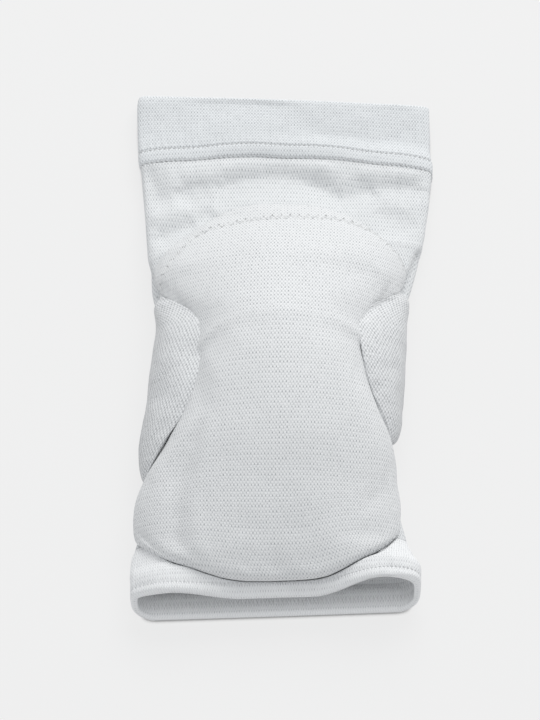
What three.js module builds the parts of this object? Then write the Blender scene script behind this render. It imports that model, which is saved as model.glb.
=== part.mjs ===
// A volleyball knee pad, lying on its back with the pad up, in millimetres.
// +X runs across the knee, +Y towards the thigh and +Z out through the front of the knee.
// The cloth is one tube, pressed flat on the surface below and raised over the knee. Every piece
// is laid out on that tube by two shares: "at", from the thigh rim (0) to the shin rim (1), and
// "around", from the left fold (-1) over the front (0) to the right fold (1) and the back (2).
import * as THREE from 'three';

// The tube
const LENGTH = 238;              // thigh rim to shin rim
const HALF_WIDTH = 66;           // centre plane to the widest fold
const RISE = 28;                 // height of the front cloth over the knee
const BACK_PRESS = 3;            // how hard the back cloth is pressed flat
const SHOULDER = 0.55;           // the ramp up to a section's near heights, as a share of its width

// The cloth
const KNIT = 2.2;                // wall of the sleeve
const THIGH_BAND_DEPTH = 35;
const THIGH_BAND_WALL = 2.6;
const SHIN_BAND_DEPTH = 27;
const SHIN_BAND_WALL = 2.4;
const SHIN_BEAD = 0.45;          // how far the shin rim's bead stands out
const HEM_STRIP = 6.8;           // between the two rows of stitching on the thigh band
const HEM_STRIP_CROWN = 0.5;
const STITCH_GROOVE = 0.5;
const STITCH_GROOVE_HALF = 0.7;
const SEAM_GAP = 0.3;            // between one piece and the next

// The pads
const PAD_THICKNESS = 18;
const SIDE_PAD_THICKNESS = 8.4;
const PAD_CLEARANCE = 0.45;      // between a pad and the sleeve under it

// How finely each surface is divided
const COLUMNS = 48;
const FOLD_CROWDING = 0.45;      // how much closer the columns stand at the folds
const SLEEVE_ROWS_OUT = 26;
const SLEEVE_ROWS_IN = 14;
const SHIN_ROWS_OUT = 8;
const SHIN_ROWS_IN = 6;
const CURVE_STEPS = 40;

// The tube's sections. left, right: half widths as shares of HALF_WIDTH. fold, nearLeft, middle,
// nearRight: heights of the side folds and of the front cloth, as shares of RISE. near: where the
// near heights are reached, as a share of the half width. square: how boxy the section is. slant:
// how far the right fold leads towards the thigh, as a share of LENGTH. pull: how far the raised
// front cloth is drawn towards the thigh, for each unit of its height.
const SECTIONS = [
  { at: 0.00, left: 0.930, right: 0.985, fold: 0.20, nearLeft: 0.41, middle: 0.44, nearRight: 0.40,
    near: 0.70, square: 4.2, slant: -0.010, pull: -0.15 },
  { at: 0.07, left: 0.948, right: 1.00, fold: 0.20, nearLeft: 0.40, middle: 0.45, nearRight: 0.40,
    near: 0.70, square: 4.2, slant: -0.010, pull: 0.12 },
  { at: 0.147, left: 0.918, right: 1.00, fold: 0.21, nearLeft: 0.40, middle: 0.45, nearRight: 0.41,
    near: 0.70, square: 4.2, slant: -0.008, pull: 0.38 },
  { at: 0.185, left: 0.905, right: 0.990, fold: 0.22, nearLeft: 0.41, middle: 0.44, nearRight: 0.42,
    near: 0.70, square: 4.0, slant: -0.005, pull: 0.25 },
  { at: 0.23, left: 0.890, right: 0.970, fold: 0.24, nearLeft: 0.43, middle: 0.48, nearRight: 0.44,
    near: 0.66, square: 3.6, slant: -0.003, pull: 0.10 },
  { at: 0.30, left: 0.870, right: 0.933, fold: 0.28, nearLeft: 0.58, middle: 0.69, nearRight: 0.57,
    near: 0.62, square: 3.0, slant: -0.002, pull: 0 },
  { at: 0.38, left: 0.850, right: 0.862, fold: 0.31, nearLeft: 0.74, middle: 0.88, nearRight: 0.74,
    near: 0.62, square: 2.6, slant: -0.001, pull: 0 },
  { at: 0.49, left: 0.750, right: 0.735, fold: 0.34, nearLeft: 0.89, middle: 1.00, nearRight: 0.89,
    near: 0.62, square: 2.3, slant: 0, pull: 0 },
  { at: 0.60, left: 0.755, right: 0.690, fold: 0.33, nearLeft: 0.84, middle: 0.94, nearRight: 0.85,
    near: 0.62, square: 2.3, slant: 0.001, pull: 0 },
  { at: 0.72, left: 0.822, right: 0.698, fold: 0.30, nearLeft: 0.72, middle: 0.83, nearRight: 0.76,
    near: 0.62, square: 2.4, slant: 0.003, pull: 0 },
  { at: 0.82, left: 0.878, right: 0.755, fold: 0.27, nearLeft: 0.58, middle: 0.66, nearRight: 0.58,
    near: 0.64, square: 2.7, slant: 0.005, pull: 0 },
  { at: 0.885, left: 0.925, right: 0.808, fold: 0.30, nearLeft: 0.52, middle: 0.52, nearRight: 0.56,
    near: 0.68, square: 3.0, slant: 0.007, pull: 0.10 },
  { at: 0.93, left: 0.950, right: 0.858, fold: 0.36, nearLeft: 0.55, middle: 0.45, nearRight: 0.68,
    near: 0.74, square: 3.4, slant: 0.009, pull: 0.22 },
  { at: 0.965, left: 0.952, right: 0.893, fold: 0.40, nearLeft: 0.62, middle: 0.52, nearRight: 0.80,
    near: 0.78, square: 3.8, slant: 0.009, pull: 0.34 },
  { at: 1.00, left: 0.940, right: 0.885, fold: 0.40, nearLeft: 0.61, middle: 0.40, nearRight: 0.82,
    near: 0.80, square: 3.8, slant: 0.009, pull: 0.42 },
];

// Soft folds of the sleeve between the thigh band and the front pad. depth is a share of RISE,
// long and wide are the half sizes of the fold in the two shares of the tube.
const FOLDS = [
  { at: 0.150, around: -0.10, depth: 0.055, long: 0.018, wide: 0.42 },
  { at: 0.180, around: 0.42, depth: 0.065, long: 0.020, wide: 0.26 },
  { at: 0.215, around: -0.66, depth: 0.060, long: 0.022, wide: 0.16 },
];

// The front pad's two long sides, as shares of the way round to the left and the right fold.
const FRONT_PAD_SIDES = [
  { at: 0.20, left: 0.82, right: 0.80 },
  { at: 0.36, left: 0.91, right: 0.88 },
  { at: 0.42, left: 0.80, right: 0.79 },
  { at: 0.49, left: 0.67, right: 0.71 },
  { at: 0.57, left: 0.65, right: 0.72 },
  { at: 0.64, left: 0.71, right: 0.80 },
  { at: 0.70, left: 0.82, right: 0.90 },
  { at: 0.76, left: 0.94, right: 0.94 },
  { at: 0.86, left: 0.95, right: 0.91 },
  { at: 0.96, left: 0.90, right: 0.86 },
];
// How thick the front pad is along its middle, from its thigh edge (0) to its shin edge (1).
const FRONT_PAD_CROWN = [
  { along: 0.00, thick: 0.00 },
  { along: 0.06, thick: 0.16 },
  { along: 0.13, thick: 0.36 },
  { along: 0.22, thick: 0.54 },
  { along: 0.30, thick: 0.76 },
  { along: 0.375, thick: 1.00 },
  { along: 0.46, thick: 1.00 },
  { along: 0.57, thick: 0.97 },
  { along: 0.72, thick: 0.92 },
  { along: 0.86, thick: 0.86 },
  { along: 1.00, thick: 0.80 },
];
const FRONT_PAD = {
  thighEdge: 0.225, thighEars: 0.368, thighArc: 2.5,
  shinEdge: 0.963, shinEars: 0.875, shinArc: 3.0,
  sideRound: 3.0, shinRound: 2.5, shinRoll: 0.84, leanAt: 0.885,
  rows: 26, columns: 22,
};

// Each side pad runs along the front pad's waist and out over the fold. outer is how far round it
// reaches, and inset how much of the sleeve the seam beside the front pad takes.
const SIDE_PADS = [
  { name: 'side_pad_left', side: -1, column: 'left', top: 0.400, bottom: 0.750, outer: 1.10 },
  { name: 'side_pad_right', side: 1, column: 'right', top: 0.395, bottom: 0.690, outer: 1.08 },
];
const SIDE_PAD = {
  inset: 0.012, innerRound: 6.0, outerRound: 2.0, endRound: 2.1, spindle: 0.62,
  rows: 18, columns: 12,
};

// Reads one column of a table between its rows, along a smooth curve that never overshoots.
function between(rows, key, column, where) {
  const last = rows.length - 1;
  if (where <= rows[0][key]) return rows[0][column];
  if (where >= rows[last][key]) return rows[last][column];
  let i = 0;
  while (rows[i + 1][key] < where) i += 1;
  const slope = (k) => (rows[k + 1][column] - rows[k][column]) / (rows[k + 1][key] - rows[k][key]);
  const tangent = (k) => {
    if (k === 0) return slope(0);
    if (k === last) return slope(last - 1);
    const before = slope(k - 1);
    const after = slope(k);
    return before * after <= 0 ? 0 : (2 * before * after) / (before + after);
  };
  const span = rows[i + 1][key] - rows[i][key];
  const t = (where - rows[i][key]) / span;
  const rise = rows[i + 1][column] - rows[i][column];
  const start = tangent(i) * span;
  const end = tangent(i + 1) * span;
  return rows[i][column] + t * start + t * t * (3 * rise - 2 * start - end)
    + t * t * t * (start + end - 2 * rise);
}

const smooth = (t) => t * t * (3 - 2 * t);
const mix = THREE.MathUtils.lerp;

// A rounded shoulder: 1 in the middle (0) and falling to 0 at the edge (1).
function shoulder(where, round) {
  return Math.pow(Math.max(0, 1 - Math.pow(Math.abs(where), round)), 1 / round);
}

// One section of the tube as two runs of points with their lengths: the front from the left fold
// to the right fold, and the back from the right fold round to the left. inset is how deep in the
// cloth the section is taken, from 0 on its outer face to the whole wall on its inner one. What
// stands out from the cloth is pressed flat where the back lies on the surface below.
const sections = new Map();
function sectionAt(at, inset) {
  const key = `${Math.round(at * 1e6)} ${Math.round(inset * 1e4)}`;
  if (sections.has(key)) return sections.get(key);
  const read = (column) => between(SECTIONS, 'at', column, THREE.MathUtils.clamp(at, 0, 1));
  const left = read('left') * HALF_WIDTH - inset;
  const right = read('right') * HALF_WIDTH - inset;
  const fold = read('fold') * RISE;
  const middle = read('middle') * RISE - inset;
  const beside = {
    left: read('nearLeft') * RISE - inset,
    right: read('nearRight') * RISE - inset,
  };
  const near = read('near');
  const power = 2 / read('square');
  const slant = read('slant') * LENGTH;
  const pull = read('pull');
  const pressed = Math.max(inset, 0);
  const point = (angle, front) => {
    const share = Math.sign(Math.sin(angle)) * Math.pow(Math.abs(Math.sin(angle)), power);
    const lift = Math.pow(Math.abs(Math.cos(angle)), power);
    const ramp = (Math.abs(share) - near) / SHOULDER + 1;
    const reach = smooth(THREE.MathUtils.clamp(ramp, 0, 1));
    const crest = mix(middle, share < 0 ? beside.left : beside.right, reach);
    const z = front
      ? fold + (crest - fold) * lift
      : Math.max(pressed, fold - (fold - inset + BACK_PRESS) * lift);
    const x = share * (share < 0 ? left : right);
    const y = LENGTH * (0.5 - at) + slant * share + pull * z;
    return new THREE.Vector3(x, y, z);
  };
  const run = (front) => {
    const points = [];
    const lengths = [0];
    for (let i = 0; i <= CURVE_STEPS; i += 1) {
      const swing = Math.PI * (i / CURVE_STEPS - 0.5);
      points.push(point(front ? swing : -swing, front));
      if (i) lengths.push(lengths[i - 1] + points[i].distanceTo(points[i - 1]));
    }
    return { points, lengths };
  };
  const made = { front: run(true), back: run(false) };
  sections.set(key, made);
  return made;
}

function pointOnRun({ points, lengths }, share) {
  const target = THREE.MathUtils.clamp(share, 0, 1) * lengths[lengths.length - 1];
  let i = 1;
  while (i < lengths.length - 1 && lengths[i] < target) i += 1;
  const t = (target - lengths[i - 1]) / (lengths[i] - lengths[i - 1]);
  return points[i - 1].clone().lerp(points[i], t);
}

function foldDepth(at, around) {
  let depth = 0;
  for (const fold of FOLDS) {
    const long = (at - fold.at) / fold.long;
    const wide = (around - fold.around) / fold.wide;
    depth += fold.depth * RISE * Math.exp(-long * long - wide * wide);
  }
  return depth;
}

function tube(at, around, inset) {
  const turn = around - 4 * Math.floor((around + 1) / 4);
  const { front, back } = sectionAt(at, inset);
  const point = turn <= 1
    ? pointOnRun(front, (turn + 1) / 2)
    : pointOnRun(back, (turn - 1) / 2);
  point.z -= foldDepth(at, around);
  return point;
}

// A point standing off the tube's outer face, straight out from it. Past leanAt it keeps the
// direction that the cloth has there.
const STEP_AT = 0.004;
const STEP_AROUND = 0.03;
function overTube(at, around, height, leanAt = 1) {
  const from = Math.min(at, leanAt);
  const along = tube(from + STEP_AT, around, 0).sub(tube(from - STEP_AT, around, 0));
  const across = tube(from, around + STEP_AROUND, 0).sub(tube(from, around - STEP_AROUND, 0));
  return tube(at, around, 0).addScaledVector(along.cross(across).normalize(), height);
}

function geometryOf(points, faces) {
  const geometry = new THREE.BufferGeometry();
  const position = new Float32Array(points.flatMap((p) => [p.x, p.y, p.z]));
  geometry.setAttribute('position', new THREE.BufferAttribute(position, 3));
  geometry.setIndex(faces.flat());
  geometry.computeVertexNormals();
  return geometry;
}

// A closed profile of { depth, height } swept once round the tube. depth is in millimetres from
// the thigh rim, and the profile runs down the outer face and back up the inner one.
function sweptRound(profile) {
  const points = [];
  const faces = [];
  const rows = profile.length;
  for (let c = 0; c < COLUMNS; c += 1) {
    const turn = (4 * c) / COLUMNS;
    const around = turn - 1 - (FOLD_CROWDING / Math.PI) * Math.sin(Math.PI * turn);
    for (const { depth, height } of profile) {
      points.push(tube(depth / LENGTH, around, -height));
    }
  }
  for (let c = 0; c < COLUMNS; c += 1) {
    for (let r = 0; r < rows; r += 1) {
      const a = c * rows + r;
      const b = c * rows + ((r + 1) % rows);
      const d = ((c + 1) % COLUMNS) * rows + r;
      const e = ((c + 1) % COLUMNS) * rows + ((r + 1) % rows);
      faces.push([a, b, e], [a, e, d]);
    }
  }
  return geometryOf(points, faces);
}

// The two faces of a wall from one depth to another, with their rows spaced evenly.
function wallFaces(from, to, wall, rowsOut, rowsIn) {
  const profile = [];
  for (let i = 0; i < rowsOut; i += 1) {
    profile.push({ depth: mix(from, to, i / (rowsOut - 1)), height: 0 });
  }
  for (let i = 0; i < rowsIn; i += 1) {
    profile.push({ depth: mix(to, from, i / (rowsIn - 1)), height: -wall });
  }
  return profile;
}

// A rim folded over: a half round from the inner face to the outer one, at the given end.
function foldedRim(rimDepth, inwards, wall, bead, steps) {
  const radius = wall / 2;
  const turns = [];
  for (let i = 1; i < steps; i += 1) {
    const angle = Math.PI * (i / steps - 0.5);
    turns.push({
      depth: rimDepth + inwards * (radius + bead) * (1 - Math.cos(angle)),
      height: -radius + (radius + bead) * Math.sin(angle),
    });
  }
  return turns;
}

function thighBand() {
  const end = THIGH_BAND_DEPTH - SEAM_GAP / 2;
  const rowOne = THIGH_BAND_DEPTH - HEM_STRIP;
  const start = THIGH_BAND_WALL / 2;
  return [
    ...foldedRim(0, 1, THIGH_BAND_WALL, 0, 4),
    { depth: start, height: 0 },
    { depth: mix(start, rowOne, 0.35), height: 0 },
    { depth: mix(start, rowOne, 0.7), height: 0 },
    { depth: rowOne - STITCH_GROOVE_HALF, height: 0 },
    { depth: rowOne, height: -STITCH_GROOVE },
    { depth: rowOne + STITCH_GROOVE_HALF, height: HEM_STRIP_CROWN / 2 },
    { depth: rowOne + HEM_STRIP / 2, height: HEM_STRIP_CROWN },
    { depth: end - STITCH_GROOVE_HALF, height: HEM_STRIP_CROWN / 2 },
    { depth: end, height: -STITCH_GROOVE },
    { depth: end, height: -THIGH_BAND_WALL },
    { depth: mix(start, end, 0.66), height: -THIGH_BAND_WALL },
    { depth: mix(start, end, 0.33), height: -THIGH_BAND_WALL },
    { depth: start, height: -THIGH_BAND_WALL },
  ];
}

function shinBand() {
  const from = LENGTH - SHIN_BAND_DEPTH + SEAM_GAP / 2;
  const to = LENGTH - SHIN_BAND_WALL / 2 - SHIN_BEAD;
  const faces = wallFaces(from, to, SHIN_BAND_WALL, SHIN_ROWS_OUT, SHIN_ROWS_IN);
  const rim = foldedRim(LENGTH, -1, SHIN_BAND_WALL, SHIN_BEAD, 5).reverse();
  return [...faces.slice(0, SHIN_ROWS_OUT), ...rim, ...faces.slice(SHIN_ROWS_OUT)];
}

function sleeve() {
  return wallFaces(
    THIGH_BAND_DEPTH + SEAM_GAP / 2,
    LENGTH - SHIN_BAND_DEPTH - SEAM_GAP / 2,
    KNIT,
    SLEEVE_ROWS_OUT,
    SLEEVE_ROWS_IN,
  );
}

// A pad lying on the sleeve: a patch of it with one face on the cloth and one raised, sharing the
// patch's border. place turns the patch's own shares into those of the tube, and thickness is in
// millimetres. across runs from -1 to 1 and along from 0 to 1.
function padOver({ rows, columns, place, thickness, mirrored, leanAt }) {
  const points = [];
  const faces = [];
  const upper = [];
  const lower = [];
  for (let r = 0; r <= rows; r += 1) {
    const along = smooth(r / rows) * 0.5 + (r / rows) * 0.5;
    for (let c = 0; c <= columns; c += 1) {
      const across = Math.sin(Math.PI * (c / columns - 0.5));
      const { at, around } = place(across, along);
      const border = r === 0 || r === rows || c === 0 || c === columns;
      const onCloth = overTube(at, around, PAD_CLEARANCE, leanAt);
      lower.push(points.push(onCloth) - 1);
      const raised = overTube(at, around, PAD_CLEARANCE + thickness(across, along), leanAt);
      raised.z = Math.max(0, raised.z);
      upper.push(border ? lower[lower.length - 1] : points.push(raised) - 1);
    }
  }
  const quad = (grid, r, c) => [
    grid[r * (columns + 1) + c],
    grid[(r + 1) * (columns + 1) + c],
    grid[(r + 1) * (columns + 1) + c + 1],
    grid[r * (columns + 1) + c + 1],
  ];
  const add = (a, b, c) => {
    if (a !== b && b !== c && c !== a) faces.push(mirrored ? [a, c, b] : [a, b, c]);
  };
  for (let r = 0; r < rows; r += 1) {
    for (let c = 0; c < columns; c += 1) {
      const [a, b, d, e] = quad(upper, r, c);
      add(a, b, d);
      add(a, d, e);
      const [f, g, h, i] = quad(lower, r, c);
      add(f, h, g);
      add(f, i, h);
    }
  }
  return geometryOf(points, faces);
}

function frontPad() {
  const shape = FRONT_PAD;
  const place = (across, along) => {
    const bow = (round) => 1 - Math.pow(Math.abs(across), round);
    const top = mix(shape.thighEars, shape.thighEdge, bow(shape.thighArc));
    const bottom = mix(shape.shinEars, shape.shinEdge, bow(shape.shinArc));
    const at = mix(top, bottom, along);
    const left = -between(FRONT_PAD_SIDES, 'at', 'left', at);
    const right = between(FRONT_PAD_SIDES, 'at', 'right', at);
    return { at, around: mix(left, right, (across + 1) / 2) };
  };
  const thickness = (across, along) => {
    const roll = Math.max(0, (along - shape.shinRoll) / (1 - shape.shinRoll));
    return PAD_THICKNESS * between(FRONT_PAD_CROWN, 'along', 'thick', along)
      * shoulder(across, shape.sideRound) * shoulder(roll, shape.shinRound);
  };
  return padOver({ ...shape, place, thickness, mirrored: false });
}

function sidePad({ side, column, top, bottom, outer }) {
  const shape = SIDE_PAD;
  const place = (across, along) => {
    const at = mix(top, bottom, along);
    const waist = between(FRONT_PAD_SIDES, 'at', column, at) + shape.inset;
    const swell = Math.pow(Math.sin(Math.PI * THREE.MathUtils.clamp(along, 0, 1)), shape.spindle);
    const reach = mix(waist, Math.max(outer, waist), swell);
    return { at, around: side * mix(waist, reach, (across + 1) / 2) };
  };
  const thickness = (across, along) => SIDE_PAD_THICKNESS
    * shoulder(across, across < 0 ? shape.innerRound : shape.outerRound)
    * shoulder(2 * along - 1, shape.endRound);
  return padOver({ ...shape, place, thickness, mirrored: side < 0 });
}

function clothMaterial(name, color) {
  return new THREE.MeshStandardMaterial({ name, color, roughness: 0.95, metalness: 0 });
}

const knit = clothMaterial('ribbed_knit', 0xdfe2e4);
const bandKnit = clothMaterial('band_knit', 0xe2e5e8);
const padKnit = clothMaterial('pad_knit', 0xe6e8e9);
const meshKnit = clothMaterial('mesh_knit', 0xe4e5e5);

const kneePad = new THREE.Group();
function addPiece(name, geometry, material) {
  const mesh = new THREE.Mesh(geometry, material);
  mesh.name = name;
  kneePad.add(mesh);
}

addPiece('thigh_band', sweptRound(thighBand()), bandKnit);
addPiece('sleeve', sweptRound(sleeve()), knit);
addPiece('shin_band', sweptRound(shinBand()), bandKnit);
addPiece('front_pad', frontPad(), padKnit);
for (const pad of SIDE_PADS) addPiece(pad.name, sidePad(pad), meshKnit);

// The frame's origin is the middle of the footprint, on the surface below.
const box = new THREE.Box3().setFromObject(kneePad);
const centre = box.getCenter(new THREE.Vector3());
kneePad.position.set(-centre.x, -centre.y, -box.min.z);

export default kneePad;
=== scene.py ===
# %% [markdown]
# # A white volleyball knee pad
# The object is one knitted tube with a hem at each end, a large foam pad over the knee and a
# small mesh-covered pad at each side of it. The CAD model gives the true shape and the space that
# each piece may fill. This file puts the cloth on it: finer surfaces, hems, stitches, the knit
# itself, and soft light. Everything is in metres, in the frame of the CAD model.

import math

import bpy
import numpy as np
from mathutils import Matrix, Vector


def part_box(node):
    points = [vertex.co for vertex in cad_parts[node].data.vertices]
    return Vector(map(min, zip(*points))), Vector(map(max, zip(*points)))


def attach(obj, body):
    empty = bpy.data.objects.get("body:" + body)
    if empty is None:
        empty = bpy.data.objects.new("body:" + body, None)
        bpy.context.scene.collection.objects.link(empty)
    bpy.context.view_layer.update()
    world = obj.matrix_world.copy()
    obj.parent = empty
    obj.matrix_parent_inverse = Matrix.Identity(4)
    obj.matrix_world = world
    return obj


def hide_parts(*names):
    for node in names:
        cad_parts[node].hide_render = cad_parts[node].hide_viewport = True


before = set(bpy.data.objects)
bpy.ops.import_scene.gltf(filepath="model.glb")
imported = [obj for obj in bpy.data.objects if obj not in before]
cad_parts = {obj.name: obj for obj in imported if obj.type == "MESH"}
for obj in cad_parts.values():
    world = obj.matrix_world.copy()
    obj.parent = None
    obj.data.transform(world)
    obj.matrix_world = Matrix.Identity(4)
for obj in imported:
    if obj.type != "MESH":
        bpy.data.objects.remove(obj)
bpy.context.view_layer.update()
MM = 0.001
print("nodes", sorted(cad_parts))

# %% [markdown]
# ## The tube of cloth
# Every piece is laid out on one tube, by two shares: `at` runs from the thigh rim (0) to the shin
# rim (1), and `around` runs from the left fold (-1) over the front (0) to the right fold (1) and
# the back (2). Writing the tube as a function makes every seam, fold and stitch follow the cloth
# by itself. The alternative, sculpting by hand, would lose that link.

# %% Sizes of the tube, and its sections
LENGTH = 238 * MM
HALF_WIDTH = 66 * MM
RISE = 28 * MM
BACK_PRESS = 3 * MM
SHOULDER = 0.55
KNIT = 2.2 * MM
THIGH_BAND_DEPTH = 35 * MM
THIGH_BAND_WALL = 2.6 * MM
SHIN_BAND_DEPTH = 27 * MM
SHIN_BAND_WALL = 2.4 * MM
SEAM_GAP = 0.3 * MM


def table(names, *rows):
    """Rows of numbers as one array for each named column."""
    return dict(zip(names.split(), np.array(rows, float).T))


SECTIONS = table(
    "at left right fold near_left middle near_right near square slant pull",
    (0.000, 0.930, 0.985, 0.20, 0.41, 0.44, 0.40, 0.70, 4.2, -0.010, -0.15),
    (0.070, 0.948, 1.000, 0.20, 0.40, 0.45, 0.40, 0.70, 4.2, -0.010, 0.12),
    (0.147, 0.918, 1.000, 0.21, 0.40, 0.45, 0.41, 0.70, 4.2, -0.008, 0.38),
    (0.185, 0.905, 0.990, 0.22, 0.41, 0.44, 0.42, 0.70, 4.0, -0.005, 0.25),
    (0.230, 0.890, 0.970, 0.24, 0.43, 0.48, 0.44, 0.66, 3.6, -0.003, 0.10),
    (0.300, 0.870, 0.933, 0.28, 0.58, 0.69, 0.57, 0.62, 3.0, -0.002, 0.00),
    (0.380, 0.850, 0.862, 0.31, 0.74, 0.88, 0.74, 0.62, 2.6, -0.001, 0.00),
    (0.490, 0.750, 0.735, 0.34, 0.89, 1.00, 0.89, 0.62, 2.3, 0.000, 0.00),
    (0.600, 0.755, 0.690, 0.33, 0.84, 0.94, 0.85, 0.62, 2.3, 0.001, 0.00),
    (0.720, 0.822, 0.698, 0.30, 0.72, 0.83, 0.76, 0.62, 2.4, 0.003, 0.00),
    (0.820, 0.878, 0.755, 0.27, 0.58, 0.66, 0.58, 0.64, 2.7, 0.005, 0.00),
    (0.885, 0.925, 0.808, 0.30, 0.52, 0.52, 0.56, 0.68, 3.0, 0.007, 0.10),
    (0.930, 0.950, 0.858, 0.36, 0.55, 0.45, 0.68, 0.74, 3.4, 0.009, 0.22),
    (0.965, 0.952, 0.893, 0.40, 0.62, 0.52, 0.80, 0.78, 3.8, 0.009, 0.34),
    (1.000, 0.940, 0.885, 0.40, 0.61, 0.40, 0.82, 0.80, 3.8, 0.009, 0.42),
)
FOLDS = table(
    "at around depth long wide",
    (0.150, -0.10, 0.055, 0.018, 0.42),
    (0.180, 0.42, 0.065, 0.020, 0.26),
    (0.215, -0.66, 0.060, 0.022, 0.16),
)


# %% Curves read from a table
def between(rows, key, column, where):
    """One column of a table between its rows, along a smooth curve that never overshoots."""
    xs, ys = rows[key], rows[column]
    slope = np.diff(ys) / np.diff(xs)
    tangent = np.empty(len(xs))
    tangent[0], tangent[-1] = slope[0], slope[-1]
    before, after = slope[:-1], slope[1:]
    same_way = before * after > 0
    total = np.where(same_way, before + after, 1.0)
    tangent[1:-1] = np.where(same_way, 2 * before * after / total, 0.0)
    w = np.clip(np.asarray(where, float), xs[0], xs[-1])
    i = np.clip(np.searchsorted(xs, w, side="right") - 1, 0, len(xs) - 2)
    span = xs[i + 1] - xs[i]
    t = (w - xs[i]) / span
    rise = ys[i + 1] - ys[i]
    start, end = tangent[i] * span, tangent[i + 1] * span
    return ys[i] + t * start + t * t * (3 * rise - 2 * start - end) + t**3 * (start + end - 2 * rise)


def smooth(t):
    """0 up to t = 0 and 1 from t = 1 on, with a soft change between them."""
    t = np.clip(t, 0, 1)
    return t * t * (3 - 2 * t)


def bump(where, middle, half):
    """A soft hump of height 1 around the middle."""
    return np.exp(-(((where - middle) / half) ** 2))


def shoulder(where, roundness):
    """1 in the middle (0) and falling to 0 at the edge (1)."""
    return np.maximum(0, 1 - np.abs(where) ** roundness) ** (1 / roundness)


def front_share(around, end, soft):
    """1 over the front and 0 beyond this place round the tube, with a soft change before it."""
    return smooth((end - np.abs(around)) / soft)


# %% [markdown]
# The tube is worked out once on a fine net, for its outer face and for each inner one, and every
# point that a piece needs is read from that net. The front and the back of a section are each
# divided by their own length, so the cloth isn't stretched where the section bends.

# %% The net of the tube
NET_ROWS = 301
NET_COLUMNS = 481
NET_AT = np.linspace(-0.02, 1.02, NET_ROWS)
NET_AROUND = np.linspace(-1, 3, NET_COLUMNS)
CURVE_STEPS = 96
HEM_BOW = 2.4 * MM
HEM_BOW_AT = 32 * MM
HEM_BOW_REACH = 15 * MM
HEM_BOW_FROM, HEM_BOW_SOFT = 0.2, 0.7
HEM_BOW_TO, HEM_BOW_END = 1.3, 0.3


def tube_net(inset):
    """The tube's points, this deep in the cloth."""
    at = np.clip(NET_AT, 0, 1)
    read = {name: between(SECTIONS, "at", name, at)[:, None] for name in SECTIONS}
    left = read["left"] * HALF_WIDTH - inset
    right = read["right"] * HALF_WIDTH - inset
    fold = read["fold"] * RISE
    power = 2 / read["square"]
    swing = np.pi * (np.arange(CURVE_STEPS + 1) / CURVE_STEPS - 0.5)[None, :]
    net = np.empty((NET_ROWS, NET_COLUMNS, 3))
    for front in (True, False):
        angle = swing if front else -swing
        share = np.sign(np.sin(angle)) * np.abs(np.sin(angle)) ** power
        lift = np.abs(np.cos(angle)) ** power
        reach = smooth((np.abs(share) - read["near"]) / SHOULDER + 1)
        middle = read["middle"] * RISE - inset
        near = np.where(share < 0, read["near_left"], read["near_right"]) * RISE - inset
        if front:
            z = fold + (middle + (near - middle) * reach - fold) * lift
        else:
            z = np.maximum(inset, fold - (fold - inset + BACK_PRESS) * lift)
        x = share * np.where(share < 0, left, right)
        y = LENGTH * (0.5 - NET_AT[:, None]) + read["slant"] * LENGTH * share + read["pull"] * z
        points = np.stack([x, y, z], -1)
        steps = np.linalg.norm(np.diff(points, axis=1), axis=-1)
        run = np.concatenate([np.zeros((NET_ROWS, 1)), np.cumsum(steps, 1)], 1)
        chosen = NET_AROUND <= 1 if front else NET_AROUND > 1
        along = (NET_AROUND[chosen] + (1 if front else -1)) / 2
        for row in range(NET_ROWS):
            for axis in range(3):
                net[row, chosen, axis] = np.interp(along * run[row, -1], run[row], points[row, :, axis])
    long = (NET_AT[:, None, None] - FOLDS["at"]) / FOLDS["long"]
    wide = (NET_AROUND[None, :, None] - FOLDS["around"]) / FOLDS["wide"]
    net[..., 2] -= (FOLDS["depth"] * RISE * np.exp(-long * long - wide * wide)).sum(-1)
    to_side = smooth((np.abs(NET_AROUND) - HEM_BOW_FROM) / HEM_BOW_SOFT)
    to_side = to_side * smooth((HEM_BOW_TO - np.abs(NET_AROUND)) / HEM_BOW_END)
    net[..., 1] -= HEM_BOW * to_side * bump(NET_AT * LENGTH, HEM_BOW_AT, HEM_BOW_REACH)[:, None]
    return net


OUTER_NET = tube_net(0.0)
low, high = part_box("sleeve")
first_row = THIGH_BAND_DEPTH / LENGTH
last_row = 1 - SHIN_BAND_DEPTH / LENGTH
sleeve_rows = (NET_AT >= first_row) & (NET_AT <= last_row)
own_low = OUTER_NET[sleeve_rows].min((0, 1))
own_high = OUTER_NET[sleeve_rows].max((0, 1))
SHIFT = (np.array(low) + np.array(high)) / 2 - (own_low + own_high) / 2
SHIFT[2] = low.z - own_low[2]
print("tube moved to the frame by", (SHIFT * 1000).round(2), "mm")
INNER_NETS = {wall: tube_net(wall) for wall in (KNIT, THIGH_BAND_WALL, SHIN_BAND_WALL)}


# %% Points on the tube, and standing off it
def from_net(net, at, around):
    """The point of a net at these two shares, mixed from the four net points about it."""
    at, around = np.broadcast_arrays(np.asarray(at, float), np.asarray(around, float))
    turn = around - 4 * np.floor((around + 1) / 4)
    i = np.clip((at - NET_AT[0]) / (NET_AT[1] - NET_AT[0]), 0, NET_ROWS - 1.001)
    j = np.clip((turn - NET_AROUND[0]) / (NET_AROUND[1] - NET_AROUND[0]), 0, NET_COLUMNS - 1.001)
    i0, j0 = i.astype(int), j.astype(int)
    a, b = (i - i0)[..., None], (j - j0)[..., None]
    near = net[i0, j0] * (1 - a) + net[i0 + 1, j0] * a
    far = net[i0, j0 + 1] * (1 - a) + net[i0 + 1, j0 + 1] * a
    return near * (1 - b) + far * b + SHIFT


STEP_AT = 0.006
STEP_AROUND = 0.03


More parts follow.
